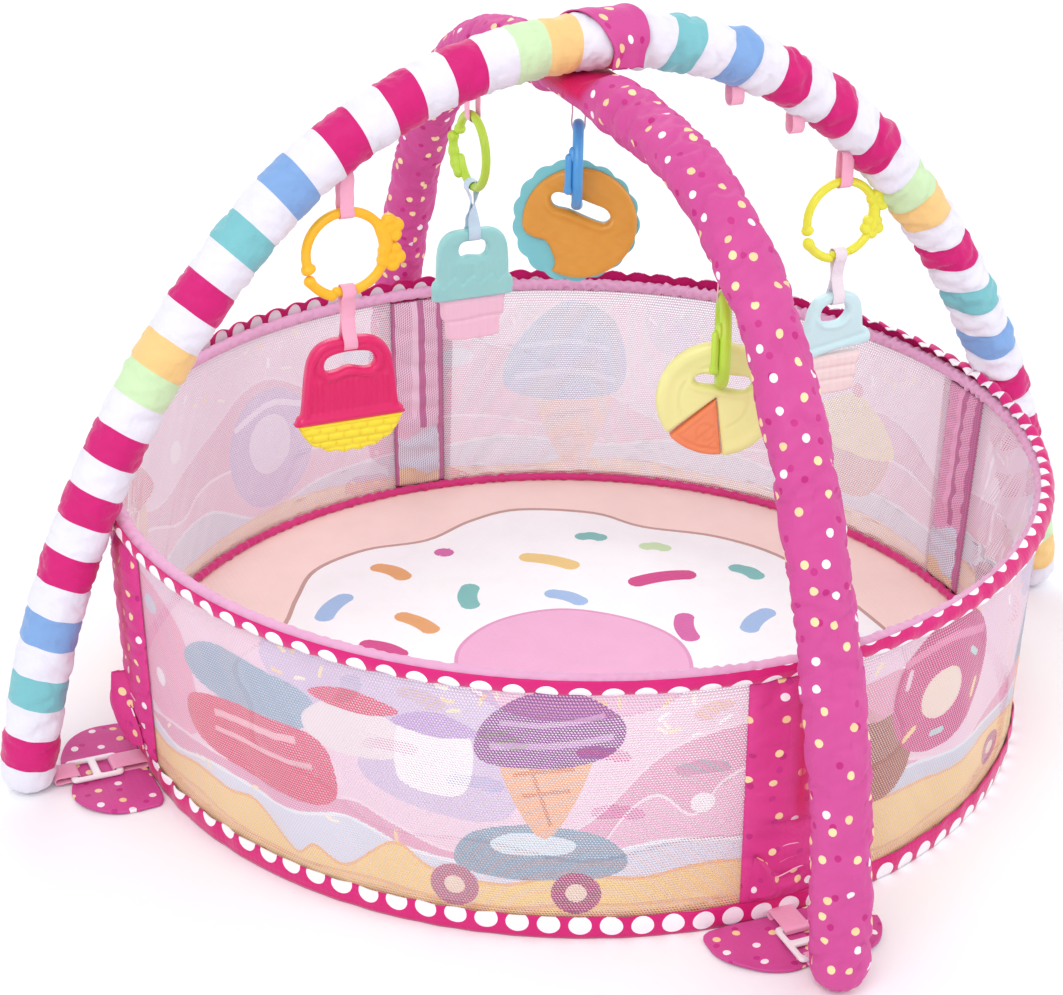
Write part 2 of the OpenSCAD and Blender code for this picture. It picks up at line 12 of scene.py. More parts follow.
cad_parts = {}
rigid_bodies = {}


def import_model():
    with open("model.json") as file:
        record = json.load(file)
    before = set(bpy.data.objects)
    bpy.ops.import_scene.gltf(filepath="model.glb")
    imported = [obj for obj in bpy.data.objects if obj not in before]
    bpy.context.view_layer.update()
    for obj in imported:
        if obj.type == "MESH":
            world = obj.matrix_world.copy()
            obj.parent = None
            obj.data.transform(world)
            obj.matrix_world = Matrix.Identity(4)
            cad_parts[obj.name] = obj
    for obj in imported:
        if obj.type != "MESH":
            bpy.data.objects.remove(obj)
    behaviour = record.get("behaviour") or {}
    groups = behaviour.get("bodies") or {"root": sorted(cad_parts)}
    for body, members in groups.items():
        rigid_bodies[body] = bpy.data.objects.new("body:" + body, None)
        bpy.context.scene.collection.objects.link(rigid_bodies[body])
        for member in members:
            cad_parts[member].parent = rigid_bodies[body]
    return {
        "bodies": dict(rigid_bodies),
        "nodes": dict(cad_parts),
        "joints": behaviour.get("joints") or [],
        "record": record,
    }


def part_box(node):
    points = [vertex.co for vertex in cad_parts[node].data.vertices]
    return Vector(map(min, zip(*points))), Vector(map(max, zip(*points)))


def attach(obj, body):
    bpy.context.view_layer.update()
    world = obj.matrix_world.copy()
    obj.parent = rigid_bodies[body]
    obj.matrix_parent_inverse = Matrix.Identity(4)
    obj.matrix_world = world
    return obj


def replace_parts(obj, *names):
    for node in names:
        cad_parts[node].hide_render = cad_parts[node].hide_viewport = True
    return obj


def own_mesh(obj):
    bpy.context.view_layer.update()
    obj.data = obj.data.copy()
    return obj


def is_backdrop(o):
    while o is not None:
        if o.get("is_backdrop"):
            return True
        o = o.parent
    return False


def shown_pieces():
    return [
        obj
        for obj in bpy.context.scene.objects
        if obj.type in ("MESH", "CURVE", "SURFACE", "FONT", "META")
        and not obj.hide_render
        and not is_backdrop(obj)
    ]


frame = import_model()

MM = 0.001
TAU = 2 * math.pi
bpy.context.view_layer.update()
scene = bpy.context.scene


# ---------- camera, light and floor ----------

def make_camera():
    azimuth, elevation, roll = math.radians(-24.55), math.radians(25.83), math.radians(1.356)
    distance, target = 2.2638, Vector((0, 0, 0.205))
    back = Vector((math.sin(azimuth) * math.cos(elevation), -math.cos(azimuth) * math.cos(elevation),
                   math.sin(elevation)))
    right = Vector((math.cos(azimuth), math.sin(azimuth), 0))
    up = back.cross(right)
    right, up = (math.cos(roll) * right + math.sin(roll) * up,
                 -math.sin(roll) * right + math.cos(roll) * up)
    data = bpy.data.cameras.new("camera")
    data.sensor_width = 36
    data.lens = 79.94
    data.shift_x, data.shift_y = -0.0419, -0.0062
    data.clip_start, data.clip_end = 0.05, 30
    camera = bpy.data.objects.new("camera", data)
    scene.collection.objects.link(camera)
    turn = Matrix((right, up, back)).transposed().to_4x4()
    camera.matrix_world = Matrix.Translation(target + back * distance) @ turn
    scene.camera = camera


def area_light(name, place, aim, size, power):
    data = bpy.data.lights.new(name, "AREA")
    data.shape = "DISK"
    data.size = size
    data.energy = power
    light = bpy.data.objects.new(name, data)
    scene.collection.objects.link(light)
    light.location = place
    light.rotation_euler = (Vector(aim) - Vector(place)).to_track_quat("-Z", "Y").to_euler()


def make_studio():
    world = bpy.data.worlds.new("studio")
    world.use_nodes = True
    background = world.node_tree.nodes["Background"]
    background.inputs["Color"].default_value = (0.96, 0.97, 1.0, 1)
    background.inputs["Strength"].default_value = 0.92
    scene.world = world
    scene.view_settings.view_transform = "Standard"
    area_light("key_light", (-1.6, -1.8, 2.6), (0, 0, 0.2), 2.2, 34)
    area_light("fill_light", (2.4, -1.2, 1.8), (0, 0, 0.2), 2.4, 16)
    area_light("back_light", (0.5, 2.6, 2.2), (0, 0, 0.3), 2.0, 18)
    floor = bpy.data.objects.new("floor", bpy.data.meshes.new("floor"))
    half = 12
    floor.data.from_pydata([(-half, -half, 0), (half, -half, 0), (half, half, 0), (-half, half, 0)],
                           [], [(0, 1, 2, 3)])
    scene.collection.objects.link(floor)
    material = bpy.data.materials.new("floor")
    material.use_nodes = True
    shader = material.node_tree.nodes["Principled BSDF"]
    shader.inputs["Base Color"].default_value = (0.97, 0.97, 0.975, 1)
    shader.inputs["Roughness"].default_value = 0.7
    floor.data.materials.append(material)
    floor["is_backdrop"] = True


# ---------- colours and materials ----------

def rgb(code):
    """A colour code such as F0C98A as linear red, green, blue."""
    values = [int(code[i:i + 2], 16) / 255 for i in (0, 2, 4)]
    return tuple(v / 12.92 if v <= 0.04045 else ((v + 0.055) / 1.055) ** 2.4 for v in values)


def rgba(code):
    return (*rgb(code), 1.0)


def grey(value):
    return (value, value, value, 1)


def add(tree, kind, inputs=None, **settings):
    """A new node, with its settings, its input values and its links."""
    node = tree.nodes.new(kind)
    for key, value in settings.items():
        setattr(node, key, value)
    for key, value in (inputs or {}).items():
        if isinstance(value, bpy.types.NodeSocket):
            tree.links.new(value, node.inputs[key])
        else:
            node.inputs[key].default_value = value
    return node


def maths(tree, operation, a, b=0.0, c=0.0):
    return add(tree, "ShaderNodeMath", {0: a, 1: b, 2: c}, operation=operation).outputs[0]


def mixed(tree, factor, a, b, blend="MIX"):
    return add(tree, "ShaderNodeMix", {0: factor, 6: a, 7: b}, data_type="RGBA", blend_type=blend).outputs[2]


def cloth_place(tree):
    """The place on the cloth in metres, which stays with it as it bends."""
    return add(tree, "ShaderNodeAttribute", attribute_name="cloth").outputs["Vector"]


def noise(tree, place, size, detail=3.0):
    """Noise whose lumps are about size metres wide."""
    node = add(tree, "ShaderNodeTexNoise", {"Vector": place, "Scale": 1 / size, "Detail": detail})
    return node.outputs["Fac"]


def new_material(name):
    material = bpy.data.materials.new(name)
    material.use_nodes = True
    tree = material.node_tree
    return material, tree, tree.nodes["Principled BSDF"]


def ramp(tree, factor, stops, constant=False):
    node = add(tree, "ShaderNodeValToRGB", {"Fac": factor})
    elements = node.color_ramp.elements
    node.color_ramp.interpolation = "CONSTANT" if constant else "LINEAR"
    while len(elements) < len(stops):
        elements.new(0.5)
    for element, (position, colour) in zip(elements, stops):
        element.position = position
        element.color = colour
    return node.outputs["Color"]


THREAD, SOFT_FOLD, WEAVE_DEPTH = 0.9 * MM, 14 * MM, 0.25 * MM


def weave_bump(tree, place):
    """Bump of crossed threads with soft unevenness over it."""
    waves = [add(tree, "ShaderNodeTexWave", {"Vector": place, "Scale": 1 / THREAD / 20, "Distortion": 0.6,
                                             "Detail": 1.0}, bands_direction=axis).outputs["Fac"]
             for axis in ("X", "Y")]
    crossed = maths(tree, "MULTIPLY", waves[0], waves[1])
    soft = noise(tree, place, SOFT_FOLD, 2.0)
    height = maths(tree, "MULTIPLY_ADD", soft, 2.5, crossed)
    bump = add(tree, "ShaderNodeBump", {"Height": height, "Strength": 0.55, "Distance": WEAVE_DEPTH})
    return bump.outputs["Normal"]


def cloth_finish(material, tree, shader, colour, roughness=0.62, sheen=0.35):
    """Fabric finish: slightly uneven dye, weave and sheen."""
    place = cloth_place(tree)
    uneven = noise(tree, place, 45 * MM, 2.0)
    shade = ramp(tree, uneven, [(0.3, grey(0.975)), (0.7, grey(1.02))])
    tree.links.new(mixed(tree, 1.0, colour, shade, "MULTIPLY"), shader.inputs["Base Color"])
    tree.links.new(weave_bump(tree, place), shader.inputs["Normal"])
    shader.inputs["Roughness"].default_value = roughness
    shader.inputs["Sheen Weight"].default_value = sheen
    shader.inputs["Sheen Roughness"].default_value = 0.4
    shader.inputs["Specular IOR Level"].default_value = 0.3
    return material


def plain_cloth(name, code, roughness=0.62, second=None):
    material, tree, shader = new_material(name)
    place = cloth_place(tree)
    colour = mixed(tree, noise(tree, place, 25 * MM), rgba(code), rgba(second or code))
    return cloth_finish(material, tree, shader, colour, roughness)


DOT_CELL, DOT_RADIUS = 24 * MM, 3.4 * MM


def dotted_cloth(name, base="D2529A", second="CB4590"):
    """Satin scattered with cream, white and darker pink dots, and painted shade: a more saturated magenta
    where the cloth's third coordinate marks a fold or a shaded place.
    """
    material, tree, shader = new_material(name)
    place = cloth_place(tree)
    colour = mixed(tree, noise(tree, place, 60 * MM), rgba(base), rgba(second))
    layers = (((0.37, 0.21, 0), [(0, "C0247C"), (0.5, "C63085")], DOT_RADIUS * 0.85, DOT_CELL * 1.12),
              ((0, 0, 0), [(0, "F9E0A8"), (0.45, "FBF1F3"), (0.75, "F7D49E")], DOT_RADIUS, DOT_CELL))
    for shift, stops, radius, pitch in layers:
        moved = add(tree, "ShaderNodeVectorMath", {0: place, 1: shift}, operation="ADD").outputs[0]
        cells = add(tree, "ShaderNodeTexVoronoi", {"Vector": moved, "Scale": 1 / pitch, "Randomness": 0.66},
                    voronoi_dimensions="2D")
        inside = maths(tree, "LESS_THAN", cells.outputs["Distance"], radius / pitch)
        pick = add(tree, "ShaderNodeSeparateColor", {0: cells.outputs["Color"]})
        chosen = ramp(tree, pick.outputs[0], [(p, rgba(c)) for p, c in stops], constant=True)
        used = maths(tree, "LESS_THAN", pick.outputs[1], 0.8)
        colour = mixed(tree, maths(tree, "MULTIPLY", inside, used), colour, chosen)
    # Painted shade: where the cloth's third coordinate marks a fold or a shaded place, the colour turns to a
    # saturated magenta, CF0A5C.
    painted_shade = add(tree, "ShaderNodeSeparateXYZ", {0: place}).outputs[2]
    colour = mixed(tree, painted_shade, colour, rgba("CF0A5C"))
    shader.inputs["Sheen Tint"].default_value = rgba("E05CA6")
    return cloth_finish(material, tree, shader, colour, roughness=0.55, sheen=0.2)


DRIFT_RADIUS, DRIFT_FROM = 0.432, 2.88


def spotted_cloth(name, pitch, rows, spot):
    """Magenta satin with rows of large white spots.
    Each row is (place across, shift along in pitches, how far it drifts across on the way round the gym)."""
    material, tree, shader = new_material(name)
    place = cloth_place(tree)
    split = add(tree, "ShaderNodeSeparateXYZ", {0: place})
    along, across = split.outputs[0], split.outputs[1]
    colour = mixed(tree, noise(tree, place, 40 * MM), rgba("D81A78"), rgba("CC0F6C"))
    turn = maths(tree, "COSINE", maths(tree, "MULTIPLY_ADD", along, 1 / DRIFT_RADIUS, -DRIFT_FROM))
    for row, shift, drift in rows:
        middle = maths(tree, "MULTIPLY_ADD", turn, drift, row)
        step = maths(tree, "FRACT", maths(tree, "MULTIPLY_ADD", along, 1 / pitch, shift))
        dx = maths(tree, "MULTIPLY", maths(tree, "SUBTRACT", step, 0.5), pitch / spot[0])
        dy = maths(tree, "DIVIDE", maths(tree, "SUBTRACT", across, middle), spot[1])
        far = maths(tree, "ADD", maths(tree, "MULTIPLY", dx, dx), maths(tree, "MULTIPLY", dy, dy))
        colour = mixed(tree, maths(tree, "LESS_THAN", far, 1.0), colour, rgba("FBF6FA"))
    return cloth_finish(material, tree, shader, colour, roughness=0.5, sheen=0.25)


def tinted_cloth(name, roughness):
    """Cloth whose print is the mesh's own tint."""
    material, tree, shader = new_material(name)
    colour = add(tree, "ShaderNodeAttribute", attribute_name="tint").outputs["Color"]
    return cloth_finish(material, tree, shader, colour, roughness, 0.3)


NET_PITCH, NET_HOLE = 2.7 * MM, 0.36


def mesh_cloth(name, shaded_backing=None):
    """Printed open mesh: the tint, with slanted rows of small holes that show a flat colour behind them if one
    is given, a painted shade of what lies behind the net.
    """
    material, tree, shader = new_material(name)
    place = cloth_place(tree)
    tint = add(tree, "ShaderNodeAttribute", attribute_name="tint").outputs["Color"]
    split = add(tree, "ShaderNodeSeparateXYZ", {0: place})
    column = maths(tree, "MULTIPLY", split.outputs[0], 1 / NET_PITCH)
    row = maths(tree, "MULTIPLY", split.outputs[1], 1.15 / NET_PITCH)
    sheared = maths(tree, "MULTIPLY_ADD", row, 0.5, column)
    lattice = add(tree, "ShaderNodeCombineXYZ", {0: sheared, 1: row})
    cells = add(tree, "ShaderNodeTexVoronoi", {"Vector": lattice.outputs[0], "Scale": 1.0,
                                               "Randomness": 0.0},
                voronoi_dimensions="2D")
    hem = maths(tree, "LESS_THAN", split.outputs[2], 0.5)
    open_here = maths(tree, "MULTIPLY", maths(tree, "LESS_THAN", cells.outputs["Distance"], NET_HOLE), hem)
    thread = ramp(tree, cells.outputs["Distance"], [(0.3, (0.82, 0.82, 0.84, 1)), (0.62, grey(1.05))])
    shown = mixed(tree, 1.0, tint, thread, "MULTIPLY")
    # Painted shade: the holes show a flat, darker colour for what lies behind the net instead of letting light
    # through.
    if shaded_backing:
        shown = mixed(tree, maths(tree, "MULTIPLY", open_here, 0.6), shown, rgba(shaded_backing))
    tree.links.new(shown, shader.inputs["Base Color"])
    bump = add(tree, "ShaderNodeBump", {"Height": cells.outputs["Distance"], "Strength": 0.4,
                                        "Distance": 0.3 * MM})
    tree.links.new(bump.outputs[0], shader.inputs["Normal"])
    shader.inputs["Roughness"].default_value = 0.6
    shader.inputs["Sheen Weight"].default_value = 0.2
    if shaded_backing:
        return material
    clear = add(tree, "ShaderNodeBsdfTransparent")
    blend = add(tree, "ShaderNodeMixShader", {0: open_here, 1: shader.outputs[0], 2: clear.outputs[0]})
    tree.links.new(blend.outputs[0], tree.nodes["Material Output"].inputs["Surface"])
    return material


def moulded(name, code, second, roughness=0.32):
    """Soft moulded plastic: faint flow marks in a second tone, and fine grain."""
    material, tree, shader = new_material(name)
    place = add(tree, "ShaderNodeTexCoord").outputs["Object"]
    lumps = noise(tree, place, 22 * MM, 3.0)
    colour = mixed(tree, lumps, rgba(code), rgba(second))
    grain = noise(tree, place, 1.4 * MM, 2.0)
    height = maths(tree, "MULTIPLY_ADD", lumps, 2.0, grain)
    bump = add(tree, "ShaderNodeBump", {"Height": height, "Strength": 0.3, "Distance": 0.12 * MM})
    gloss = ramp(tree, grain, [(0.3, grey(roughness)), (0.7, grey(roughness * 1.35))])
    tree.links.new(colour, shader.inputs["Base Color"])
    tree.links.new(bump.outputs[0], shader.inputs["Normal"])
    tree.links.new(gloss, shader.inputs["Roughness"])
    shader.inputs["Subsurface Weight"].default_value = 0.12
    shader.inputs["Subsurface Radius"].default_value = (0.01, 0.006, 0.004)
    shader.inputs["Coat Weight"].default_value = 0.15
    return material


# ---------- mesh helpers ----------

def new_object(name, points, faces, material):
    """A smooth mesh from points in millimetres."""
    mesh = bpy.data.meshes.new(name)
    mesh.from_pydata((np.asarray(points).reshape(-1, 3) * MM).tolist(), [], faces)
    mesh.update()
    mesh.shade_smooth()
    thing = bpy.data.objects.new(name, mesh)
    scene.collection.objects.link(thing)
    mesh.materials.append(material)
    return thing


def give_cloth(thing, per_corner, painted_shade=None):
    """The place on the cloth, in millimetres, of every face corner, and how much painted shade it takes, 0 to
    1, in folds and shaded places.
    """
    data = np.zeros((len(thing.data.loops), 3), np.float32)
    data[:, :2] = np.asarray(per_corner, np.float32)[:, :2] * MM
    if painted_shade is not None:
        data[:, 2] = painted_shade
    attribute = thing.data.attributes.new("cloth", "FLOAT_VECTOR", "CORNER")
    attribute.data.foreach_set("vector", data.ravel())


def give_tint(thing, per_face):
    """A colour for each face, kept on its corners."""
    counts = [p.loop_total for p in thing.data.polygons]
    colours = np.repeat(np.asarray(per_face, np.float32), counts, axis=0)
    data = np.ones((len(colours), 4), np.float32)
    data[:, :3] = colours
    attribute = thing.data.color_attributes.new("tint", "FLOAT_COLOR", "CORNER")
    attribute.data.foreach_set("color", data.ravel())


def grid(rows, cols, close_rows=False, close_cols=False):
    """Quads of a grid of points, and the grid places of their corners, which don't wrap."""
    i, j = np.meshgrid(np.arange(rows - 1 + close_rows), np.arange(cols - 1 + close_cols), indexing="ij")
    i, j = i.ravel(), j.ravel()
    places = np.stack([np.stack([i, j], 1), np.stack([i, j + 1], 1), np.stack([i + 1, j + 1], 1),
                       np.stack([i + 1, j], 1)], 1)
    quads = (places[:, :, 0] % rows) * cols + places[:, :, 1] % cols
    return quads, places


def surface(name, points, material, u, v, close_rows=False, close_cols=False, caps=False, painted_shade=None):
    """A smooth sheet over a grid of points. u and v are cloth coordinates of the grid lines."""
    rows, cols = points.shape[:2]
    quads, places = grid(rows, cols, close_rows, close_cols)
    faces = quads.tolist()
    cloth = np.stack([np.asarray(u)[places[:, :, 0]], np.asarray(v)[places[:, :, 1]]], 2).reshape(-1, 2)
    if caps:
        for row, order in ((0, range(cols - 1, -1, -1)), (rows - 1, range(cols))):
            faces.append([row * cols + k for k in order])
            cloth = np.vstack([cloth, [(u[row], v[k]) for k in order]])
    thing = new_object(name, points, faces, material)
    if painted_shade is not None:
        painted_shade = np.asarray(painted_shade)[places[:, :, 0] % rows, places[:, :, 1] % cols].ravel()
        painted_shade = np.concatenate([painted_shade, np.zeros(len(cloth) - len(painted_shade))])
    give_cloth(thing, cloth, painted_shade)
    return thing


def tangents(points, closed):
    return np.roll(points, -1, 0) - np.roll(points, 1, 0) if closed else np.gradient(points, axis=0)


def closed_loop(points):
    return np.vstack([points, points[:1]])


def run_lengths(points):
    """Length along a line up to each of its points."""
    return np.concatenate([[0], np.cumsum(np.linalg.norm(np.diff(points, axis=0), axis=1))])


def sheet_grid(name, middle, thickness, material, u, v, close_rows=False):
    """A thin two-sided sheet about a grid of points."""
    normal = np.cross(tangents(middle, close_rows), np.gradient(middle, axis=1))
    normal /= np.linalg.norm(normal, axis=2, keepdims=True) + 1e-9
    front, back = middle + normal * thickness / 2, middle - normal * thickness / 2
    points = np.concatenate([front, back[:, ::-1]], 1)
    across = np.concatenate([v, v[::-1], v[:1]])
    return surface(name, points, material, u, across, close_rows, True, caps=not close_rows)


def turn_outwards(thing):
    work = bmesh.new()
    work.from_mesh(thing.data)
    bmesh.ops.recalc_face_normals(work, faces=work.faces)
    work.to_mesh(thing.data)
    work.free()


def place_in(thing, body, slot, *nodes):
    turn_outwards(thing)
    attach(thing, body)
    if nodes:
        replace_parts(thing, *nodes)
    return thing


def ripples(seed, count, turns, waves):
    """A fixed sum of waves over an angle and a length: returns a function of both, about -1 to 1."""
    random = np.random.default_rng(seed)
    m = random.integers(turns[0], turns[1] + 1, count)
    k = random.uniform(TAU / waves[1], TAU / waves[0], count) * random.choice([-1, 1], count)
    phase = random.uniform(0, TAU, count)

    def value(angle, length):
        total = sum(np.cos(m[i] * angle + k[i] * length + phase[i]) for i in range(count))
        return total / math.sqrt(count)
    return value


def ease(x):
    x = np.clip(x, 0, 1)
    return x * x * (3 - 2 * x)


def curve_through(points, steps=8, closed=False):
    """Points of a smooth curve through the given ones."""
    p = np.asarray(points, float)
    if closed:
        p = np.vstack([p[-1], p, p[0], p[1]])
    else:
        p = np.vstack([2 * p[0] - p[1], p, 2 * p[-1] - p[-2]])
    t = np.arange(steps)[:, None] / steps
    parts = []
    for a, b, c, d in zip(p[:-3], p[1:-2], p[2:-1], p[3:]):
        parts.append(0.5 * (2 * b + (c - a) * t + (2 * a - 5 * b + 4 * c - d) * t ** 2
                            + (3 * b - a - 3 * c + d) * t ** 3))
    if not closed:
        parts.append(p[-2:-1])
    return np.vstack(parts)


# ---------- flat prints ----------

def ellipse(x, y, rx, ry):
    return oval_section(rx, ry, 28) + (x, y)


def turned_2d(points, tilt):
    c, s = math.cos(math.radians(tilt)), math.sin(math.radians(tilt))
    return np.asarray(points) @ np.array([[c, s], [-s, c]])


def blob(*points, steps=6):
    return curve_through(points, steps, closed=True)


def capsule(x, y, length, width, tilt, bend=0.0):
    """A sprinkle: a short bar with round ends, bent like a bow."""
    t = np.linspace(-1, 1, 9)
    mid = np.stack([t * (length - width) / 2, bend * (1 - t * t)], 1)
    a = np.linspace(-math.pi / 2, math.pi / 2, 7)[1:-1]
    half = width / 2
    upper = mid + (0, half)
    lower = mid - (0, half)
    right = mid[-1] + half * np.stack([np.cos(a), np.sin(a)], 1)
    left = mid[0] - half * np.stack([np.cos(a), np.sin(a)], 1)
    return turned_2d(np.vstack([lower, right, upper[::-1], left]), tilt) + (x, y)


def band_below(points):
    """Everything under a smooth line of points, down past the panel's lower edge."""
    line = curve_through(points, 6)
    return np.vstack([line, [(line[-1][0], -40), (line[0][0], -40)]])


def border_edges(faces):
    """Edges that only one triangle uses."""
    edges = np.sort(np.concatenate([faces[:, [0, 1]], faces[:, [1, 2]], faces[:, [2, 0]]]), axis=1)
    found, times = np.unique(edges, axis=0, return_counts=True)
    return found[times == 1]


def stroke(points, width):
    """A thin line through points."""
    line = curve_through(points, 5)
    along = np.gradient(line, axis=0)
    normal = np.stack([-along[:, 1], along[:, 0]], 1) / np.linalg.norm(along, axis=1)[:, None]
    return np.vstack([line + normal * width / 2, (line - normal * width / 2)[::-1]])


def inside(points, polygon):
    """Which points lie in a polygon."""
    low, high = polygon.min(0), polygon.max(0)
    hit = np.all((points >= low) & (points <= high), axis=1)
    test = points[hit]
    odd = np.zeros(len(test), bool)
    for (x0, y0), (x1, y1) in zip(polygon, np.roll(polygon, -1, axis=0)):
        if y0 == y1:
            continue
        crosses = (y0 > test[:, 1]) != (y1 > test[:, 1])
        odd ^= crosses & (test[:, 0] < (x1 - x0) * (test[:, 1] - y0) / (y1 - y0) + x0)
    hit[hit] = odd
    return hit


def shell(name, flat, faces, upper, lower, material):
    """Flat triangles laid on two sheets of points and joined round their borders, and how many joins."""
    count = len(flat)
    rim = border_edges(faces)
    quads = np.column_stack([rim[:, 0], rim[:, 1], rim[:, 1] + count, rim[:, 0] + count])
    all_faces = faces.tolist() + (faces[:, ::-1] + count).tolist() + quads.tolist()
    thing = new_object(name, np.vstack([upper, lower]), all_faces, material)
    corners = np.concatenate([faces.ravel(), faces[:, ::-1].ravel(), (quads % count).ravel()])
    give_cloth(thing, flat[corners])
    return thing, len(quads)


def edge_distance(points, loops):
    """Distance of each point to the nearest edge of some closed loops."""
    best = np.full(len(points), 1e9)
    for loop in loops:
        for a, b in zip(loop, np.roll(loop, -1, axis=0)):
            run = b - a
            t = np.clip((points - a) @ run / (run @ run + 1e-12), 0, 1)
            best = np.minimum(best, np.linalg.norm(points - a - t[:, None] * run, axis=1))
    return best


def offset_loop(loop, reach):
    """A loop moved inwards by a reach, outwards where it is negative."""
    run = np.roll(loop, -1, 0) - np.roll(loop, 1, 0)
    area = np.sum(loop[:, 0] * np.roll(loop[:, 1], -1) - loop[:, 1] * np.roll(loop[:, 0], -1))
    normal = np.stack([-run[:, 1], run[:, 0]], 1) / (np.linalg.norm(run, axis=1)[:, None] + 1e-9)
    return loop + normal * reach * np.sign(area)


def print_flat(outline, shapes, spacing, holes=(), near=()):
    """Triangles over an outline, cut along every shape's edge, with the colour of the uppermost shape.
    near are distances from the outline and the holes at which rows of points are laid."""
    low, high = outline.min(0), outline.max(0)
    xs = np.arange(low[0] + spacing / 2, high[0], spacing)
    ys = np.arange(low[1] + spacing / 2, high[1], spacing * 0.87)
    fill = np.array([(x + (k % 2) * spacing / 2, y) for k, y in enumerate(ys) for x in xs])
    fill = fill[inside(fill, outline)]
    borders = [outline, *holes]
    if near:
        fill = fill[edge_distance(fill, borders) > near[-1] + spacing * 0.45]
        for reach in near:
            for k, loop in enumerate(borders):
                row = offset_loop(loop, reach if k == 0 else -reach)
                fill = np.vstack([fill, row[edge_distance(row, borders) > reach * 0.93]])
        fill = fill[inside(fill, outline)]
    loops = borders + [polygon for polygon, _ in shapes]
    points, edges = [], []
    for loop in loops:
        start = len(points)
        points += loop.tolist()
        edges += [(start + k, start + (k + 1) % len(loop)) for k in range(len(loop))]
    points += fill.tolist()
    found = delaunay_2d_cdt([Vector(p) for p in points], edges, [], 0, 1e-4, False)
    flat = np.array([tuple(v) for v in found[0]])
    triangles = np.array([f for f in found[2] if len(f) == 3])
    middles = flat[triangles].mean(1)
    kept = inside(middles, outline)
    for hole in holes:
        kept &= ~inside(middles, hole)
    triangles, middles = triangles[kept], middles[kept]
    colours = np.tile(rgb("FFFFFF"), (len(triangles), 1))
    for polygon, code in shapes:
        colours[inside(middles, polygon)] = rgb(code)
    used, triangles = np.unique(triangles, return_inverse=True)
    return flat[used], triangles.reshape(-1, 3), colours


# ---------- sizes from the frame ----------

def box(node):
    low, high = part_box(node)
    return np.array(low) / MM, np.array(high) / MM


def around(radius, angle, z):
    """Points at a radius and an angle in radians about the Z axis."""
    radius, angle, z = np.broadcast_arrays(radius, angle, z)
    return np.stack([radius * np.cos(angle), radius * np.sin(angle), z], -1).astype(float)


mat_r = box("mat_foam")[1][0] + 1.2
mat_t = box("mat_top_cover")[1][2]
trim_low, trim_high = box("bottom_trim")
trim_r = trim_high[0] - 0.6
hoop_out = box("hoop_sleeve")
sleeve_r = (hoop_out[1][2] - hoop_out[0][2]) / 2
hoop_r = hoop_out[1][0] - sleeve_r
hoop_z = hoop_out[1][2] - sleeve_r
panel_low, panel_high = box("mesh_left")
wall_low_z, wall_top_z = panel_low[2], panel_high[2]
post_low_z = box("post_front")[0][2]
SIDES = {"right": 0, "back": 90, "left": 180, "front": 270}
POST_HALF = 3.9
COVER_HALF = (POST_HALF + 1.0, POST_HALF + 1.9)


def wall_r(z):
    """Inner radius of the wall at a height."""
    return mat_r - 1 + (hoop_r - mat_r + 1) * (z - wall_low_z) / (wall_top_z - wall_low_z)


# ---------- mat ----------

PINK, TEAL, YELLOW, GREEN, CERISE, BLUE = "D868A8", "7FC1BB", "F0CE84", "CDE8B4", "D64A8C", "A5C3E8"
SPRINKLES = [
    (-36, 277, -27, 266, PINK), (119, 255, 146, 240, TEAL), (41, 233, 91, 186, YELLOW),
    (174, 206, 200, 190, GREEN), (-112, 272, -89, 227, "E9A86C"), (-51, 145, -32, 194, TEAL),
    (124, 134, 200, 123, CERISE), (245, 128, 262, 92, TEAL), (-204, 176, -159, 219, BLUE),
    (36, 147, 65, 111, BLUE), (-125, 161, -101, 112, "E9A86C"), (130, -5, 149, 52, PINK),
    (192, -5, 238, 27, BLUE), (-180, 117, -147, 77, CERISE), (-210, 60, -235, 15, TEAL),
    (-175, 20, -150, -30, YELLOW), (-240, -60, -200, -95, PINK), (-130, -80, -105, -125, GREEN),
    (-190, -150, -150, -185, BLUE), (-60, -150, -20, -178, CERISE), (10, -215, 60, -225, TEAL),
    (70, -140, 115, -120, YELLOW), (150, -80, 175, -125, BLUE), (235, -60, 250, -110, PINK),
    (120, -230, 165, -205, "E9A86C"), (-90, -250, -50, -270, PINK), (205, -175, 235, -205, GREEN)]
ICING = [(357, 324), (342, 336), (327, 318), (312, 338), (296, 322), (280, 342), (264, 320), (248, 338),
         (232, 318), (216, 336), (200, 316), (186, 334), (172, 318), (158, 330), (144, 300), (132, 312),
         (121, 332), (109, 327), (97, 308), (86, 332), (76, 348), (62, 341), (52, 320), (37, 330), (21, 329)]
CENTRE = [(0, 116), (24, 112), (48, 109), (72, 110), (96, 109), (120, 111), (144, 114), (168, 112),
          (192, 110), (216, 108), (240, 105), (264, 107), (288, 111), (312, 115), (336, 117)]


def polar(points, grow=0.0):
    return [((r + grow) * math.cos(math.radians(a)), (r + grow) * math.sin(math.radians(a)))
            for a, r in points]


def mat_shapes():
    shapes = [(blob(*polar(ICING, 5)), "C9A096"), (blob(*polar(ICING)), "FFFFFE"),
              (blob(*polar(CENTRE, 4)), "E39CC4"), (blob(*polar(CENTRE)), "EFB2D3")]
    for x0, y0, x1, y1, code in SPRINKLES:
        length = 0.86 * math.hypot(x1 - x0, y1 - y0) + 10
        tilt = math.degrees(math.atan2(y1 - y0, x1 - x0))
        middle = ((x0 + x1) / 2, (y0 + y1) / 2)
        shapes.append((capsule(*middle, length, 21, tilt, 3), code))
    return shapes


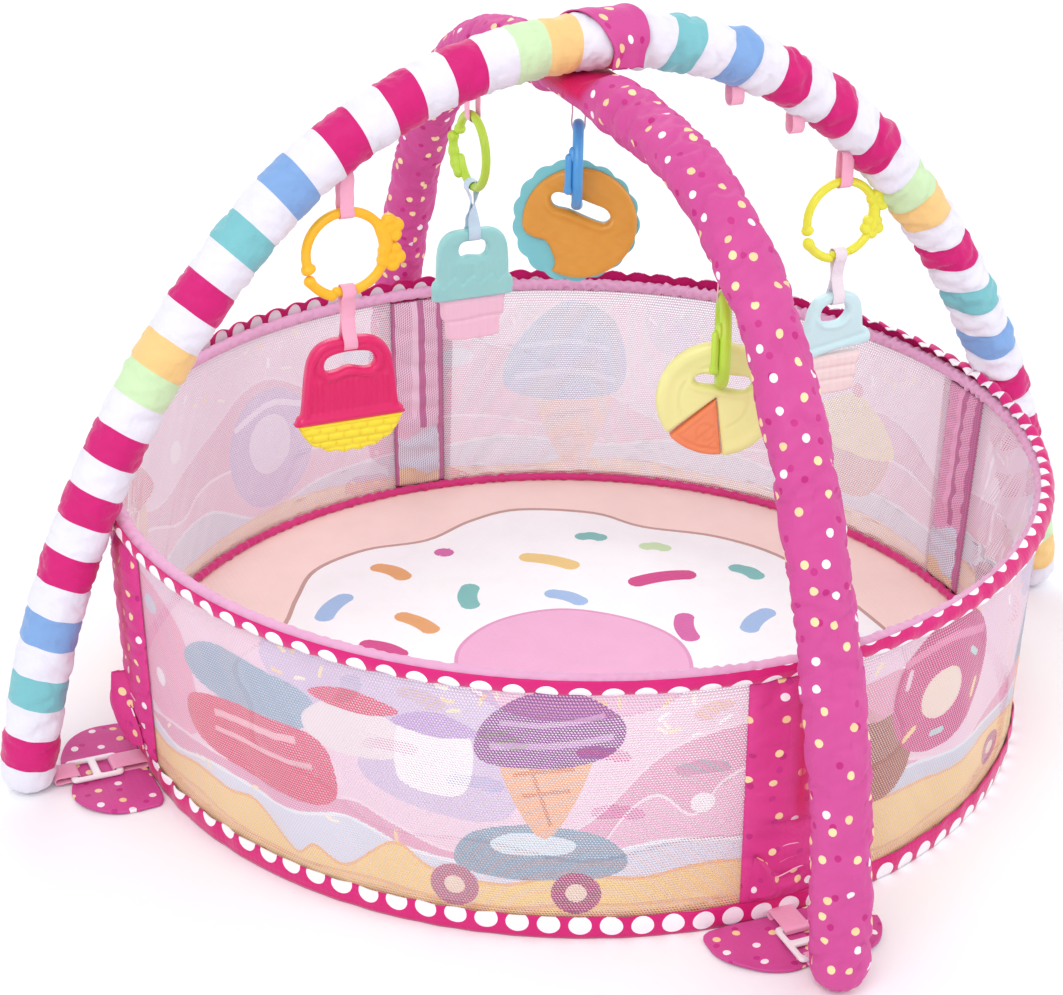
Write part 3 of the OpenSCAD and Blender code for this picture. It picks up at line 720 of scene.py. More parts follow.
def make_mat(print_cloth, base_cloth):
    edge_r = mat_r - 6
    angles = np.linspace(0, TAU, 300, endpoint=False)
    outline = edge_r * np.stack([np.cos(angles), np.sin(angles)], 1)
    flat, faces, colours = print_flat(outline, mat_shapes(), 11)
    colours[(colours == rgb("FFFFFF")).all(1)] = rgb("FFE2D8")
    swell = ripples(3, 9, (0, 5), (120, 320))
    radius = np.hypot(flat[:, 0], flat[:, 1])
    dimple = 1.5 * swell(np.arctan2(flat[:, 1], flat[:, 0]), radius) * ease((edge_r - radius) / 40)
    top = np.column_stack([flat, mat_t + dimple])
    thing = new_object("mat_top", top, faces.tolist(), print_cloth)
    give_cloth(thing, flat[faces].reshape(-1, 2))
    give_tint(thing, colours)
    place_in(thing, "mat", "mat_print", "mat_top_cover", "mat_foam")
    section = curve_through([(edge_r, mat_t), (mat_r - 1.6, mat_t - 2.5), (mat_r, mat_t - 6.5),
                             (mat_r - 1.5, 3), (mat_r - 8, 0.4), (mat_r - 40, 0.2), (mat_r / 2, 0.2),
                             (2, 0.2)], 4)
    points = around(section[None, :, 0], angles[:, None], section[None, :, 1])
    base = surface("mat_base", points, base_cloth, np.append(angles, TAU) * mat_r, run_lengths(section),
                   close_rows=True)
    place_in(base, "mat", "mat_underside", "mat_base_cover")


def ring_tube(name, radius, z, section, count, material, wrinkle=None, depth=0.0):
    """A closed tube round the Z axis. section holds (outward, up) offsets."""
    angles = np.linspace(0, TAU, count, endpoint=False)
    section = np.asarray(section, float)
    turn = np.arctan2(section[:, 1], section[:, 0])
    push = 1.0 if wrinkle is None else 1 + depth * wrinkle(turn[None, :], angles[:, None] * radius)
    points = around(radius + section[None, :, 0] * push, angles[:, None], z + section[None, :, 1] * push)
    return surface(name, points, material, np.append(angles, TAU) * radius,
                   run_lengths(closed_loop(section)), True, True)


def puff(thing, held, pressure=4.0, slack=0.04, reach=2.5, frames=14):
    """Fill a cushion with the cloth solver: air pushes it out between the seams that hold it."""
    before = np.empty(len(thing.data.vertices) * 3)
    thing.data.vertices.foreach_get("co", before)
    group = thing.vertex_groups.new(name="seams")
    group.add([int(k) for k in held], 1.0, "REPLACE")
    cloth = thing.modifiers.new("Filling", "CLOTH")
    settings = cloth.settings
    settings.quality = 6
    settings.mass = 0.05
    settings.tension_stiffness = settings.compression_stiffness = 12
    settings.shear_stiffness = 4
    settings.bending_stiffness = 0.02
    settings.shrink_min = -slack
    settings.use_pressure = True
    settings.uniform_pressure_force = pressure
    settings.effector_weights.gravity = 0
    settings.vertex_group_mass = "seams"
    cloth.point_cache.frame_start = 1
    cloth.point_cache.frame_end = frames
    for frame in range(1, frames + 1):
        scene.frame_set(frame)
    filled = thing.evaluated_get(bpy.context.evaluated_depsgraph_get())
    after = np.empty_like(before)
    filled.data.vertices.foreach_get("co", after)
    move = (after - before).reshape(-1, 3)
    length = np.linalg.norm(move, axis=1, keepdims=True) + 1e-12
    limit = np.broadcast_to(np.asarray(reach, float), len(move))[:, None] * MM
    move *= limit * np.tanh(length / limit) / length
    thing.modifiers.remove(cloth)
    thing.vertex_groups.remove(group)
    thing.data.vertices.foreach_set("co", before + move.ravel())
    thing.data.update()
    scene.frame_set(1)
    largest = float(np.linalg.norm(move, axis=1).max() / MM)
    print(f"filled {thing.name}: moved up to {largest:.1f} mm")


def oval_section(half_side, half_out, count):
    turn = np.linspace(0, TAU, count, endpoint=False)
    return np.stack([half_side * np.cos(turn), half_out * np.sin(turn)], 1)


def circle_section(radius, count=20):
    return oval_section(radius, radius, count)


def make_piping(satin):
    low, high = box("floor_piping")
    radius = (high[2] - low[2]) / 2
    wrinkle = ripples(11, 14, (0, 2), (9, 30))
    thing = ring_tube("floor_piping_satin", high[0] - radius, (low[2] + high[2]) / 2 + 1.2,
                      circle_section(radius + 1.7), 900, satin, wrinkle, 0.16)
    place_in(thing, "mat", "magenta_piping", "floor_piping")


def make_bottom_trim(spotted):
    angles = np.linspace(0, TAU, 720, endpoint=False)
    heights = np.linspace(trim_low[2], trim_high[2], 9)
    wave = ripples(5, 12, (0, 1), (30, 110))
    lean = ((heights - heights[0]) / (heights[-1] - heights[0]))[None, :]
    radius = trim_r + 1.1 * (1 + wave(0, angles[:, None] * trim_r)) * (0.3 + 0.7 * lean)
    radius = radius + 1.3 * np.sin(lean * 3.1)
    middle = around(radius, angles[:, None], heights[None, :])
    thing = sheet_grid("bottom_trim_cloth", middle, 1.2, spotted, np.append(angles, TAU) * trim_r,
                       heights - heights[0], close_rows=True)
    place_in(thing, "mat", "spotted_trim", "bottom_trim")


# ---------- wall ----------

def at_wall(start, *points):
    """Angle and height pairs as places on a flat panel that starts at an angle."""
    return [(math.radians(a - start) * (mat_r + 3), z) for a, z in points]


def hill(code, edge, *points):
    """A hill of one colour with a paler or darker line along its top."""
    low = [(x, z - 3.5) for x, z in points]
    return [(band_below(points), edge), (band_below(low), code)]


def confetti(start, first, last, low, high, count, seed):
    """Small pale sprinkles strewn over part of a panel."""
    random = np.random.default_rng(seed)
    colours = ("FBEBC0", "FDF4E4", "F8D9A8", "FFFFFE")
    shapes = []
    for k in range(count):
        place = at_wall(start, (random.uniform(first, last), random.uniform(low, high)))[0]
        shapes.append((capsule(*place, random.uniform(9, 14), 3.2, random.uniform(0, 180), 0.6),
                       colours[k % 4]))
    return shapes


def print_shapes(start, rows):
    """A panel's print as (outline, colour) pairs. A row is (kind, colour, sizes and places on the wall)."""
    shapes = []
    for kind, *rest in rows:
        if kind == "confetti":
            shapes += confetti(start, *rest)
        elif kind == "hill":
            code, edge, *points = rest
            shapes += hill(code, edge, *at_wall(start, *points))
        elif kind == "blob":
            code, *points = rest
            shapes.append((blob(*at_wall(start, *points)), code))
        elif kind == "line":
            code, width, *points = rest
            shapes.append((stroke(at_wall(start, *points), width), code))
        else:
            code, point, *sizes = rest
            shape = {"spot": ellipse, "bar": capsule}[kind]
            shapes.append((shape(*at_wall(start, point)[0], *sizes), code))
    return shapes


PANEL_BASE = "F3D5E4"
PINK_HILL, LILAC, SLATE, CORAL = "E7A9C4", "D9C5E0", "9FB3C8", "E0607F"
SAND, CLOUD, WAFFLE, PLUM, ROSE = "F5D490", "D3D8E4", "F0B58F", "9A5B9C", "D24F8E"


LEFT_PRINT = [
    ("blob", LILAC, (236, 240), (222, 250), (210, 236), (214, 190), (226, 176), (238, 190)),
    ("blob", "EFABC7", (182, 214), (188, 224), (195, 204), (197.5, 160), (198, 112), (193, 88), (186, 92),
     (182, 110)),
    ("blob", LILAC, (222, 150), (224, 128), (232, 112), (239, 118), (240, 160), (236, 190), (226, 176)),
    ("blob", SLATE, (196, 180), (200, 204), (208, 210), (216, 196), (215, 164), (207, 154), (199, 160)),
    ("confetti", 212, 266, 196, 236, 26, 5),
    ("hill", PINK_HILL, "F8DFEA", (185, 84), (191, 92), (200, 98), (214, 99), (221, 109), (226, 97),
     (234, 80), (246, 110), (256, 186), (264, 205), (267, 200)),
    ("hill", "EDBBD2", "F9E6EE", (247, 60), (251, 120), (255, 142), (259, 120), (262, 150), (267, 168)),
    ("hill", "DFE2EE", "F3F4F9", (184, 78), (192, 70), (200, 84), (212, 78), (220, 90), (228, 74),
     (236, 70), (246, 84), (256, 96), (268, 88)),
    ("confetti", 184, 232, 62, 84, 10, 9),
    ("blob", "F2E3E6", (221, 206), (215, 178), (218, 152), (226, 158), (228, 184)),
    ("blob", CORAL, (216, 204), (221, 216), (227, 206), (224, 196), (218, 196)),
    ("blob", "FBF4F6", (227, 196), (227, 140), (234, 136), (235, 190), (231, 202)),
    ("blob", "C5A4D6", (226, 196), (231, 212), (236, 196), (231, 188)),
    ("blob", CORAL, (197.4, 146), (214.2, 163), (218.8, 132), (216.6, 92), (198, 102)),
    ("line", "F4B8C4", 7, (201, 138), (214, 150)),
    ("line", "F4B8C4", 5, (201, 122), (216, 128)),
    ("hill", SAND, "F1BA80", (184, 62), (190, 60), (197, 70), (203, 66), (207, 68), (213, 38), (216, 52),
     (220, 41), (226, 77), (230.5, 58), (238, 52), (246, 66), (254, 62), (262, 70), (268, 62)),
    ("hill", "F1CC93", "EBB983", (184, 34), (196, 42), (208, 30), (222, 34), (236, 28), (250, 36),
     (268, 30)),
    ("blob", "8FA5B8", (233, 70), (235, 100), (241, 112), (249, 104), (252, 76), (248, 60), (237, 58)),
    ("blob", "DCE8EE", (237, 92), (240, 104), (246, 98), (245, 84), (239, 82)),
    ("blob", WAFFLE, (238, 172), (243, 98), (248, 184), (243, 190)),
    ("line", "D98F6C", 4, (239.5, 160), (246, 170)),
    ("line", "D98F6C", 4, (240.5, 140), (245.6, 148)),
    ("line", "D98F6C", 3.4, (241, 176), (243.6, 112)),
    ("blob", PLUM, (236, 172), (236, 204), (240, 232), (246, 238), (251, 214), (250, 184), (243, 168)),
    ("line", "C79AC8", 6, (237, 186), (243, 190), (250, 200)),
    ("line", "C79AC8", 5, (238, 208), (243, 210), (249, 220)),
    ("spot", "B9718A", (233, 44), 21, 21),
    ("spot", "F1DCC8", (233, 44), 9, 9),
    ("spot", "A94A78", (246.5, 45), 21, 21),
    ("spot", "F1DCC8", (246.5, 45), 9, 9),
    ("spot", "FBF4F6", (189, 130), 9, 9),
    ("spot", "FBF4F6", (260, 130), 10, 10),
    ("spot", CLOUD, (188, 200), 12, 9)]
RIGHT_PRINT = [
    ("blob", LILAC, (310, 240), (322, 250), (338, 240), (340, 200), (326, 180), (312, 196)),
    ("confetti", 274, 350, 190, 236, 26, 6),
    ("hill", PINK_HILL, "F8DFEA", (272, 110), (282, 128), (296, 96), (309, 120), (322, 150), (336, 130),
     (348, 150), (358, 140)),
    ("hill", CLOUD, "EEF0F6", (272, 104), (283, 112), (296, 98), (310, 96), (324, 104), (340, 92),
     (358, 98)),
    ("hill", SAND, "F1BA80", (272, 84), (282, 92), (296, 78), (309, 80), (324, 66), (340, 76), (358, 62)),
    ("hill", "F1CC93", "EBB983", (272, 44), (290, 36), (306, 44), (324, 34), (342, 42), (358, 34)),
    ("blob", "A8664E", (276, 196), (280, 96), (287, 108), (288, 190)),
    ("blob", "E9A3BD", (274, 190), (279, 214), (288, 206), (289, 182), (281, 172)),
    ("spot", ROSE, (292.5, 176), 68, 66),
    ("spot", "F5E3D2", (292, 168), 26, 25),
    ("line", "E98BB6", 8, (285, 212), (292, 222), (300, 206)),
    ("bar", "FCE7A0", (287, 140), 20, 6, 30),
    ("bar", "BFE3E0", (298, 190), 20, 6, -40),
    ("bar", "FFFFFF", (286, 196), 20, 6, 80),
    ("bar", "FCE7A0", (299, 150), 20, 6, 70),
    ("bar", "BFE3E0", (292, 128), 18, 6, 0),
    ("blob", WAFFLE, (316, 120), (321, 30), (331, 30), (336, 122)),
    ("blob", "8FA5B8", (313, 122), (316, 164), (326, 190), (336, 164), (339, 122), (326, 110)),
    ("spot", CORAL, (326, 196), 10, 10),
    ("spot", "A94A78", (348, 62), 26, 26),
    ("spot", "F1DCC8", (348, 62), 11, 11),
    ("spot", "B9718A", (308, 52), 17, 17),
    ("spot", "F1DCC8", (308, 52), 7, 7)]
BACK_LEFT_PRINT = [
    ("confetti", 94, 176, 190, 236, 26, 7),
    ("hill", PINK_HILL, "F8DFEA", (92, 120), (104, 150), (116, 196), (128, 160), (142, 130), (156, 168),
     (178, 140)),
    ("hill", "EDBBD2", "F9E6EE", (92, 90), (98, 128), (104, 96), (128, 110), (136, 90), (150, 120),
     (178, 96)),
    ("hill", CLOUD, "EEF0F6", (92, 66), (106, 58), (118, 40), (130, 78), (146, 62), (160, 72), (178, 60)),
    ("spot", "C9A8D8", (115.5, 114), 60, 68),
    ("spot", "E9DCF0", (115.5, 118), 30, 34),
    ("line", "F1E4F6", 7, (109, 150), (115, 164), (122, 148)),
    ("hill", SAND, "EDC49C", (92, 34), (112, 44), (134, 36), (156, 46), (178, 38)),
    ("blob", WAFFLE, (146, 150), (150, 50), (160, 50), (165, 152)),
    ("blob", CORAL, (143, 150), (147, 192), (155, 212), (164, 192), (168, 150), (155, 138)),
    ("spot", "FBF4F6", (136, 168), 12, 12),
    ("spot", CLOUD, (99, 190), 22, 12)]
BACK_RIGHT_PRINT = [
    ("blob", LILAC, (55, 232), (44, 240), (40, 206), (46, 170), (54, 180)),
    ("confetti", 4, 86, 190, 236, 26, 8),
    ("hill", PINK_HILL, "F8DFEA", (2, 120), (16, 170), (30, 130), (44, 80), (55, 100), (68, 150),
     (81, 190), (90, 196)),
    ("hill", "EDBBD2", "F9E6EE", (2, 100), (14, 120), (28, 90), (44, 70), (55, 56), (68, 78), (81, 98),
     (90, 100)),
    ("hill", CLOUD, "EEF0F6", (2, 66), (18, 74), (34, 60), (48, 72), (64, 58), (76, 70), (90, 60)),
    ("hill", SAND, "EDC49C", (2, 36), (20, 44), (40, 34), (59, 42), (74, 32), (90, 40)),
    ("blob", WAFFLE, (72, 114), (66, 22), (60.5, 116), (66, 124)),
    ("line", "D98F6C", 4, (70.5, 90), (63, 98)),
    ("line", "D98F6C", 4, (69, 62), (64.6, 68)),
    ("blob", "7FA3CF", (76.5, 128), (75, 178), (68, 228), (61, 212), (58.4, 160), (60, 122), (68, 110)),
    ("line", "B6CBE6", 7, (75, 140), (67, 146), (60, 136)),
    ("line", "B6CBE6", 6, (74, 176), (67, 182), (61, 172)),
    ("spot", "D3BCE6", (50, 195), 17, 17),
    ("spot", "FBF4F6", (37, 168), 12, 12),
    ("blob", "D98F6C", (27, 120), (25, 66), (18, 66), (15, 122)),
    ("blob", "F2DE8A", (28.5, 118), (27, 156), (21.5, 176), (16, 154), (14, 120), (21, 108)),
    ("spot", CORAL, (21.5, 182), 8, 8),
    ("spot", CLOUD, (84, 168), 20, 11)]


def make_panel(name, start, rows, cloth, seed, crease, bunched):
    """One printed net panel of the wall, from a start angle over nearly a quarter turn."""
    span = math.radians(90 - 2 * POST_HALF - 0.1)
    radius = mat_r + 3
    width, height = span * radius, wall_top_z - wall_low_z
    begin = start + POST_HALF + 0.05
    n, m = 110, 40
    xs, zs = np.linspace(0, width, n), np.linspace(wall_low_z, wall_top_z, m)
    outline = np.concatenate([[(x, zs[0]) for x in xs], [(width, z) for z in zs[1:]],
                              [(x, zs[-1]) for x in xs[-2::-1]], [(0, z) for z in zs[-2:0:-1]]])
    flat, faces, colours = print_flat(outline, print_shapes(begin, rows), 6.5)
    colours[(colours == rgb("FFFFFF")).all(1)] = rgb(PANEL_BASE)
    angle = math.radians(begin) + flat[:, 0] / radius
    z = flat[:, 1] + 3.5 * ease((flat[:, 1] - wall_top_z + 20) / 20)
    fixed = ease((z - wall_low_z) / 22) * ease((wall_top_z - z) / 22)
    fixed = fixed * ease((flat[:, 0] - 12) / 26) * ease((width - flat[:, 0] - 12) / 26)
    wide = ripples(seed, 7, (0, 0), (90, 260))
    fine = ripples(seed + 1, 10, (0, 0), (24, 60))
    slant = flat[:, 0] + 0.7 * z
    bend = fixed * (1.8 * wide(0, flat[:, 0] * 1.0 + 0.3 * z) + crease * fine(0, slant))
    gathered = ease((flat[:, 0] - width + bunched) / 60) if bunched else 0.0
    bunch = 2.6 * fine(0, 0.8 * flat[:, 0] + 0.25 * z) + 1.6 * fine(0, slant * 1.3)
    bend = bend + gathered * fixed * bunch
    outer = around(wall_r(z) + 1.1 + bend, angle, z)
    inner = around(wall_r(z) + 0.1 + bend, angle, z)
    thing, joins = shell(name, flat, faces, outer, inner, cloth)
    rim_colours = np.tile(rgb("E3A2C4"), (joins, 1))
    inner_colours = 0.2 * (colours + rgb("F4DDE8")) + 0.6 * np.array(rgb("F9F1F8"))
    give_tint(thing, np.vstack([colours, inner_colours, rim_colours]))
    return thing


def make_wall(net):
    panels = (("mesh_left", 180, LEFT_PRINT, 21, 0.3, 0), ("mesh_right", 270, RIGHT_PRINT, 31, 0.3, 190),
              ("mesh_back_right", 0, BACK_RIGHT_PRINT, 41, 0.9, 0),
              ("mesh_back_left", 90, BACK_LEFT_PRINT, 51, 0.4, 0))
    for node, start, rows, seed, crease, bunched in panels:
        thing = make_panel(node + "_net", start, rows, net, seed, crease, bunched)
        place_in(thing, "mat", "printed_mesh", node)
        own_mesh(thing)


COLUMN_ROWS, COLUMN_COLS = 70, 17


def padded_column(name, angle, half, low, high, out, inward, cloth, seed, wrinkle):
    """A padded upright strip on the wall, bulging out on one side and nearly flat on the other."""
    rows, cols = COLUMN_ROWS, COLUMN_COLS
    z = np.linspace(low, high, rows)
    half = np.linspace(*half, rows)[:, None]
    t = np.linspace(-1, 1, cols)
    wave = ripples(seed, 10, (-2, 2), (16, 60))
    end = (1 - 0.55 * (1 - ease((z - low) / 12)) * 1.0 - 0.45 * (1 - ease((high - z) / 10)))[:, None]
    crown = (1 - np.abs(t) ** 3.2)[None, :]
    folds = wrinkle * wave(t[None, :] * 1.2, z[:, None]) * crown
    edge = math.copysign(0.9, out - inward)
    front = inward + edge + (out - inward - edge) * crown * end + folds
    back = np.full((rows, cols), float(inward))
    turn = math.radians(angle) + np.radians(half) * t[None, :]
    base = wall_r(z)[:, None]
    points = np.concatenate([around(base + front, turn, z[:, None]),
                             around(base + back, turn, z[:, None])[:, ::-1]], 1)
    across = t * math.radians(half.mean()) * mat_r
    # Painted shade along a fold: a stripe near the middle of the bulging face, fading in between 60 and 100 mm
    # above its foot; dotted satin takes a darker magenta there, and the padded net closes its holes there.
    shaded_fold_line = 0.16 + 0.06 * np.sin(z / 45)[:, None]
    painted_shade = np.exp(-((t[None, :] - shaded_fold_line) / 0.16) ** 2) * ease((z - low - 60) / 40)[:, None]
    painted_shade = np.concatenate([painted_shade, np.zeros_like(painted_shade)], 1)
    return surface(name, points, cloth, z, np.concatenate([across, across[::-1], across[:1]]), False, True,
                   True, painted_shade=painted_shade)


def post_tints(pink, shade_code):
    """Print of a post's inner side: sand, cloud and pink, with painted shade as a darker colour at both edges
    and along a fold.
    """
    rows, cols = COLUMN_ROWS, COLUMN_COLS
    z = np.linspace(post_low_z, wall_top_z, rows)[:-1]
    t = np.concatenate([np.linspace(-1, 1, cols), np.linspace(1, -1, cols)])
    tints = np.empty((rows - 1, 2 * cols, 3))
    for i, height in enumerate(z):
        for j, place in enumerate(t):
            wave = 6 * math.sin(place * 3)
            code = "F2D9B4" if height < 38 + wave else "DFE3EF" if height < 84 - wave else pink
            # Painted shade: both edges and a fold in the upper part take the shade colour.
            if abs(place) > 0.8 or (-0.3 < place < -0.02 and height > 90):
                code = shade_code
            tints[i, j] = rgb(code)
    return np.vstack([tints.reshape(-1, 3), [rgb(pink)] * 2])


def wall_points(angle, across, z, lift):
    """Points on a post: across is a distance along the wall, lift is outwards from its inner face."""
    z = np.asarray(z, float)
    return around(wall_r(z) + lift, math.radians(angle) + np.asarray(across) / mat_r, z)


def make_posts(dotted, padded_net, thread):
    ring = 2 * COLUMN_COLS
    ends = [*range(ring), *range((COLUMN_ROWS - 1) * ring, COLUMN_ROWS * ring)]

    def column_lines(columns):
        return [row * ring + column for row in range(COLUMN_ROWS) for column in columns]

    for side, angle in SIDES.items():
        post = padded_column(f"post_{side}_cover", angle, COVER_HALF, post_low_z, wall_top_z, 7.8, 2.2,
                             dotted, 60 + angle, 0.9)
        seams = (0, COLUMN_COLS - 1, *range(COLUMN_COLS, ring))
        puff(post, [*ends, *column_lines(seams)], 4.0, 0.07, 3.0)
        place_in(post, "mat", "dotted_fabric", f"post_{side}")
        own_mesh(post)
        pad = padded_column(f"post_{side}_pad", angle, (POST_HALF, POST_HALF), post_low_z, wall_top_z, -5.2,
                            0.9, padded_net, 70 + angle, 0.8)
        # C9709F is the painted shade at the pad's edges and fold.
        give_tint(pad, post_tints("F3CDE0" if side == "back" else "F0A9CB", "C9709F"))
        puff(pad, [*ends, *column_lines((*seams, COLUMN_COLS // 2))], 3.0, 0.06, 2.0)
        place_in(pad, "mat", "foam", "post_pads")
        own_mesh(pad)
        for k, height in enumerate((50, 64, 78)):
            t = np.linspace(-1, 1, 40)
            z = height + 2.5 * t + 1.6 * np.sin(t * 4 + k)
            path = wall_points(angle, 25 * t, z, 10.6 - 5.3 * np.abs(t) ** 3)
            stitch = sweep(f"post_{side}_stitch_{k}", path, (0, 0, 1), circle_section(0.55, 8), thread)
            place_in(stitch, "mat", "dotted_fabric")
            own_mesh(stitch)
    low, high = box("tie_straps")[0][2], box("tie_straps")[1][2]
    u, v = np.linspace(0, 1, 30)[:, None], np.linspace(-1, 1, 21)[None, :]
    snug = (("", 6, 17, -13, 9.5, 2.6, 2.5, 0, 0.044),)
    loose = (("", 30, 22, 3, 9.5, 5.0, 6, 20, 0.05), ("_fold", 12, 17, 9, 13.0, 3.0, 4, 3, 0.04))
    for side, angle in SIDES.items():
        layers = loose if side in ("left", "right") else snug
        for layer, rise, half, shift, lift, bulge, lean, flare, width in layers:
            tall = high - low + rise
            across = shift + half * (1 - 0.96 * u ** 2.4) * v - 16 * u ** 2
            off = lift + bulge * np.cos(v * 3.4 + 0.4) + lean * u ** 2 \
                + flare * ((1 - v) / 2) ** 1.3 * np.sin(np.pi * (0.12 + 0.8 * u))
            points = wall_points(angle, across, low - 14 + tall * u + 3 * v * (1 - u), off)
            strap = sheet_grid(f"tie_strap_{side}{layer}", points, 1.2, dotted, u[:, 0] * tall, v[0] * 24)
            place_in(strap, "mat", "dotted_fabric", "tie_straps")
            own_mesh(strap)


FAR_SIDE = math.radians(65)


def make_rim(sleeve_cloth, spotted):
    wrinkle = ripples(15, 16, (0, 3), (14, 60))
    ruffle = ripples(16, 12, (1, 4), (9, 20))

    def folds(turn, length):
        place = length / hoop_r
        right = 0.35 + 0.65 * ease(np.cos(place - 0.2) * 0.8 + 0.3)
        behind = 0.24 * ease(0.5 + 0.9 * np.cos(place - FAR_SIDE))
        return (wrinkle(turn, length) * 0.5 + ruffle(turn, length) * right * 2.2) * 0.08 - behind
    sleeve = ring_tube("rim_sleeve", hoop_r - 0.5, hoop_z - 0.8, circle_section(sleeve_r - 0.5, 28), 1100,
                       sleeve_cloth, folds, 1.0)
    place_in(sleeve, "hoop", "rim_fabric", "hoop_sleeve")
    angles = np.linspace(0, TAU, 1400, endpoint=False)
    place = np.linspace(0, 1, 25)[None, :]
    fine = ripples(17, 12, (0, 2), (18, 70))
    behind = ease(0.62 + 0.9 * np.cos(angles - FAR_SIDE))[:, None]
    rightward = ease(1.6 * np.cos(angles + 0.45) - 0.75)[:, None]
    turn = np.radians(-72 + (106 + 48 * behind + 70 * rightward) * place)
    stand = ease((turn - 0.1) / 1.3)
    scallop = np.abs(np.sin(angles * 52))[:, None]
    reach = sleeve_r + 1.3 + 0.5 * fine(turn, angles[:, None] * hoop_r)
    droop = 1.0 * (1 - place) ** 2
    out = reach * np.cos(turn) + behind * stand * 3.0
    up = reach * np.sin(turn) - droop + behind * stand * (1.5 + 4.5 * scallop)
    middle = around(hoop_r + out, angles[:, None], hoop_z + up)
    length = np.linspace(0, 22, 25)
    band = sheet_grid("rim_band_cloth", middle, 0.9, spotted, np.append(angles, TAU) * hoop_r, length,
                      close_rows=True)
    place_in(band, "hoop", "spotted_trim", "rim_band")


# ---------- arches ----------

STRIPED_ARCS = ((422, 47.5), (898, 79.5))
DOTTED_ARCS = ((1940, 4.75), (307, 57.5), (883, 84.6))
striped_box = box("striped_sleeve")
tube_r = (striped_box[1][1] - striped_box[0][1]) / 2
striped_top = striped_box[1][2] - tube_r
CROSSING_DROP = 38
dotted_top = striped_top - CROSSING_DROP
FLAT_HALF_W, FLAT_HALF_T = 31, 11.8
STRIPES = "W" + "MWTWBWMWMWMWGOW" * 4
STRIPE_COLOURS = {"M": "CF1273", "W": "E8E6F1", "T": "79BFC6", "B": "7FA6DA", "G": "CDE8B8", "O": "F2CA85"}


def arch_place(arcs, top, s):
    """Centreline of an arch at signed lengths from its apex: the points (outward, up) and the slope."""
    run = np.abs(s)
    angle, x, z = np.zeros_like(run), np.zeros_like(run), np.full_like(run, top)
    start, a0, x0, z0 = 0.0, 0.0, 0.0, top
    for radius, degrees in arcs:
        a1 = math.radians(degrees)
        here = run >= start
        a = np.minimum(a0 + (run - start) / radius, a1)
        angle = np.where(here, a, angle)
        x = np.where(here, x0 + radius * (np.sin(a) - math.sin(a0)), x)
        z = np.where(here, z0 - radius * (math.cos(a0) - np.cos(a)), z)
        start += radius * (a1 - a0)
        x0 += radius * (math.sin(a1) - math.sin(a0))
        z0 -= radius * (math.cos(a0) - math.cos(a1))
        a0 = a1
    past = np.maximum(run - start, 0)
    x, z = x + past * math.cos(a0), z - past * math.sin(a0)
    return np.sign(s) * x, z, np.sign(s) * angle


def arch_length(arcs, top):
    """Half of an arch's length, from its apex down to the floor."""
    s = np.linspace(0, 1500, 30001)
    return s[np.argmax(arch_place(arcs, top, s)[1] <= 0)]


def arch_points(arcs, top, s, out, side, turned=False):
    """Points at offsets outwards and sideways from an arch's line. side is towards -Y, or -X if turned."""
    x, z, angle = arch_place(arcs, top, s)
    px, pz = x + out * np.sin(angle), z + out * np.cos(angle)
    px, py, pz = np.broadcast_arrays(px, -side, pz)
    if turned:
        px, py = py, -px
    return np.stack([px, py, pz], -1).astype(float)


FOOT_ROUND = 26


def foot_size(left):
    """How much of the tube's radius remains at a length from its end."""
    t = np.clip(left / FOOT_ROUND, 0, 1)
    return np.sqrt(np.clip(1 - (1 - t) ** 2.6, 0.02, 1))


def make_striped(cloth):
    half = arch_length(STRIPED_ARCS, striped_top)
    pitch = 2 * half / len(STRIPES)
    per, cols = 10, 72
    s_lines = np.linspace(-half, half, len(STRIPES) * per + 1)
    turn = np.linspace(0, TAU, cols, endpoint=False)[None, :]
    s = s_lines[:, None]
    right = ease((s + 60) / 300)
    twist = 2.5 * np.cos(turn - 0.7) + right * (5 * np.cos(turn + s / 95) + 2.2 * np.cos(2 * turn - s / 60))
    keep = ease((half - np.abs(s)) / 60)
    place = s + twist * keep
    part = (s + half) / pitch % 1
    seam = np.minimum(part, 1 - part) * pitch
    soft = ripples(101, 14, (1, 4), (30, 130))
    crease = ripples(103, 12, (2, 6), (14, 40))
    fine = ripples(104, 16, (4, 11), (8, 22))
    swell = (0.25 + 0.4 * right) * np.sin(part * math.pi) ** 0.7
    swell = swell - (0.35 + 0.5 * right) * np.exp(-(seam / 2.2) ** 2)
    folds = 0.5 * soft(turn, s) + (0.35 + 0.75 * right) * crease(turn, s)
    folds = folds + 0.45 * fine(turn, s) * np.exp(-seam / 7)
    pleats = np.exp(-(half - np.abs(s)) / 14) * np.cos(13 * turn + 0.8 * np.sin(2 * turn)) * 1.1
    radius = (tube_r - 0.2 + (swell + folds + pleats)) * foot_size(half - np.abs(s))
    points = arch_points(STRIPED_ARCS, striped_top, place, radius * np.cos(turn), radius * np.sin(turn))
    points[..., 2] = np.maximum(points[..., 2], 0.4)
    across = np.linspace(0, TAU * tube_r, cols + 1)
    thing = surface("striped_cover", points, cloth, s_lines + half, across, False, True, True)
    codes = [STRIPE_COLOURS[STRIPES[min(i // per, len(STRIPES) - 1)]] for i in range(len(s_lines) - 1)]
    tints = np.repeat(np.array([rgb(code) for code in codes]), cols, axis=0)
    give_tint(thing, np.vstack([tints, [rgb("E8E6F1")] * 2]))
    seams = np.arange(0, len(s_lines), per)[:, None] * cols + np.arange(cols)
    ends = [*range(9 * cols), *range((len(s_lines) - 9) * cols, len(s_lines) * cols)]
    freedom = np.repeat(0.8 + 1.9 * ease((s_lines + 20) / 260), cols)
    puff(thing, [*seams.ravel(), *ends], 3.0, 0.05, freedom, 12)
    place_in(thing, "mat", "striped_fabric", "striped_sleeve", "striped_foam")


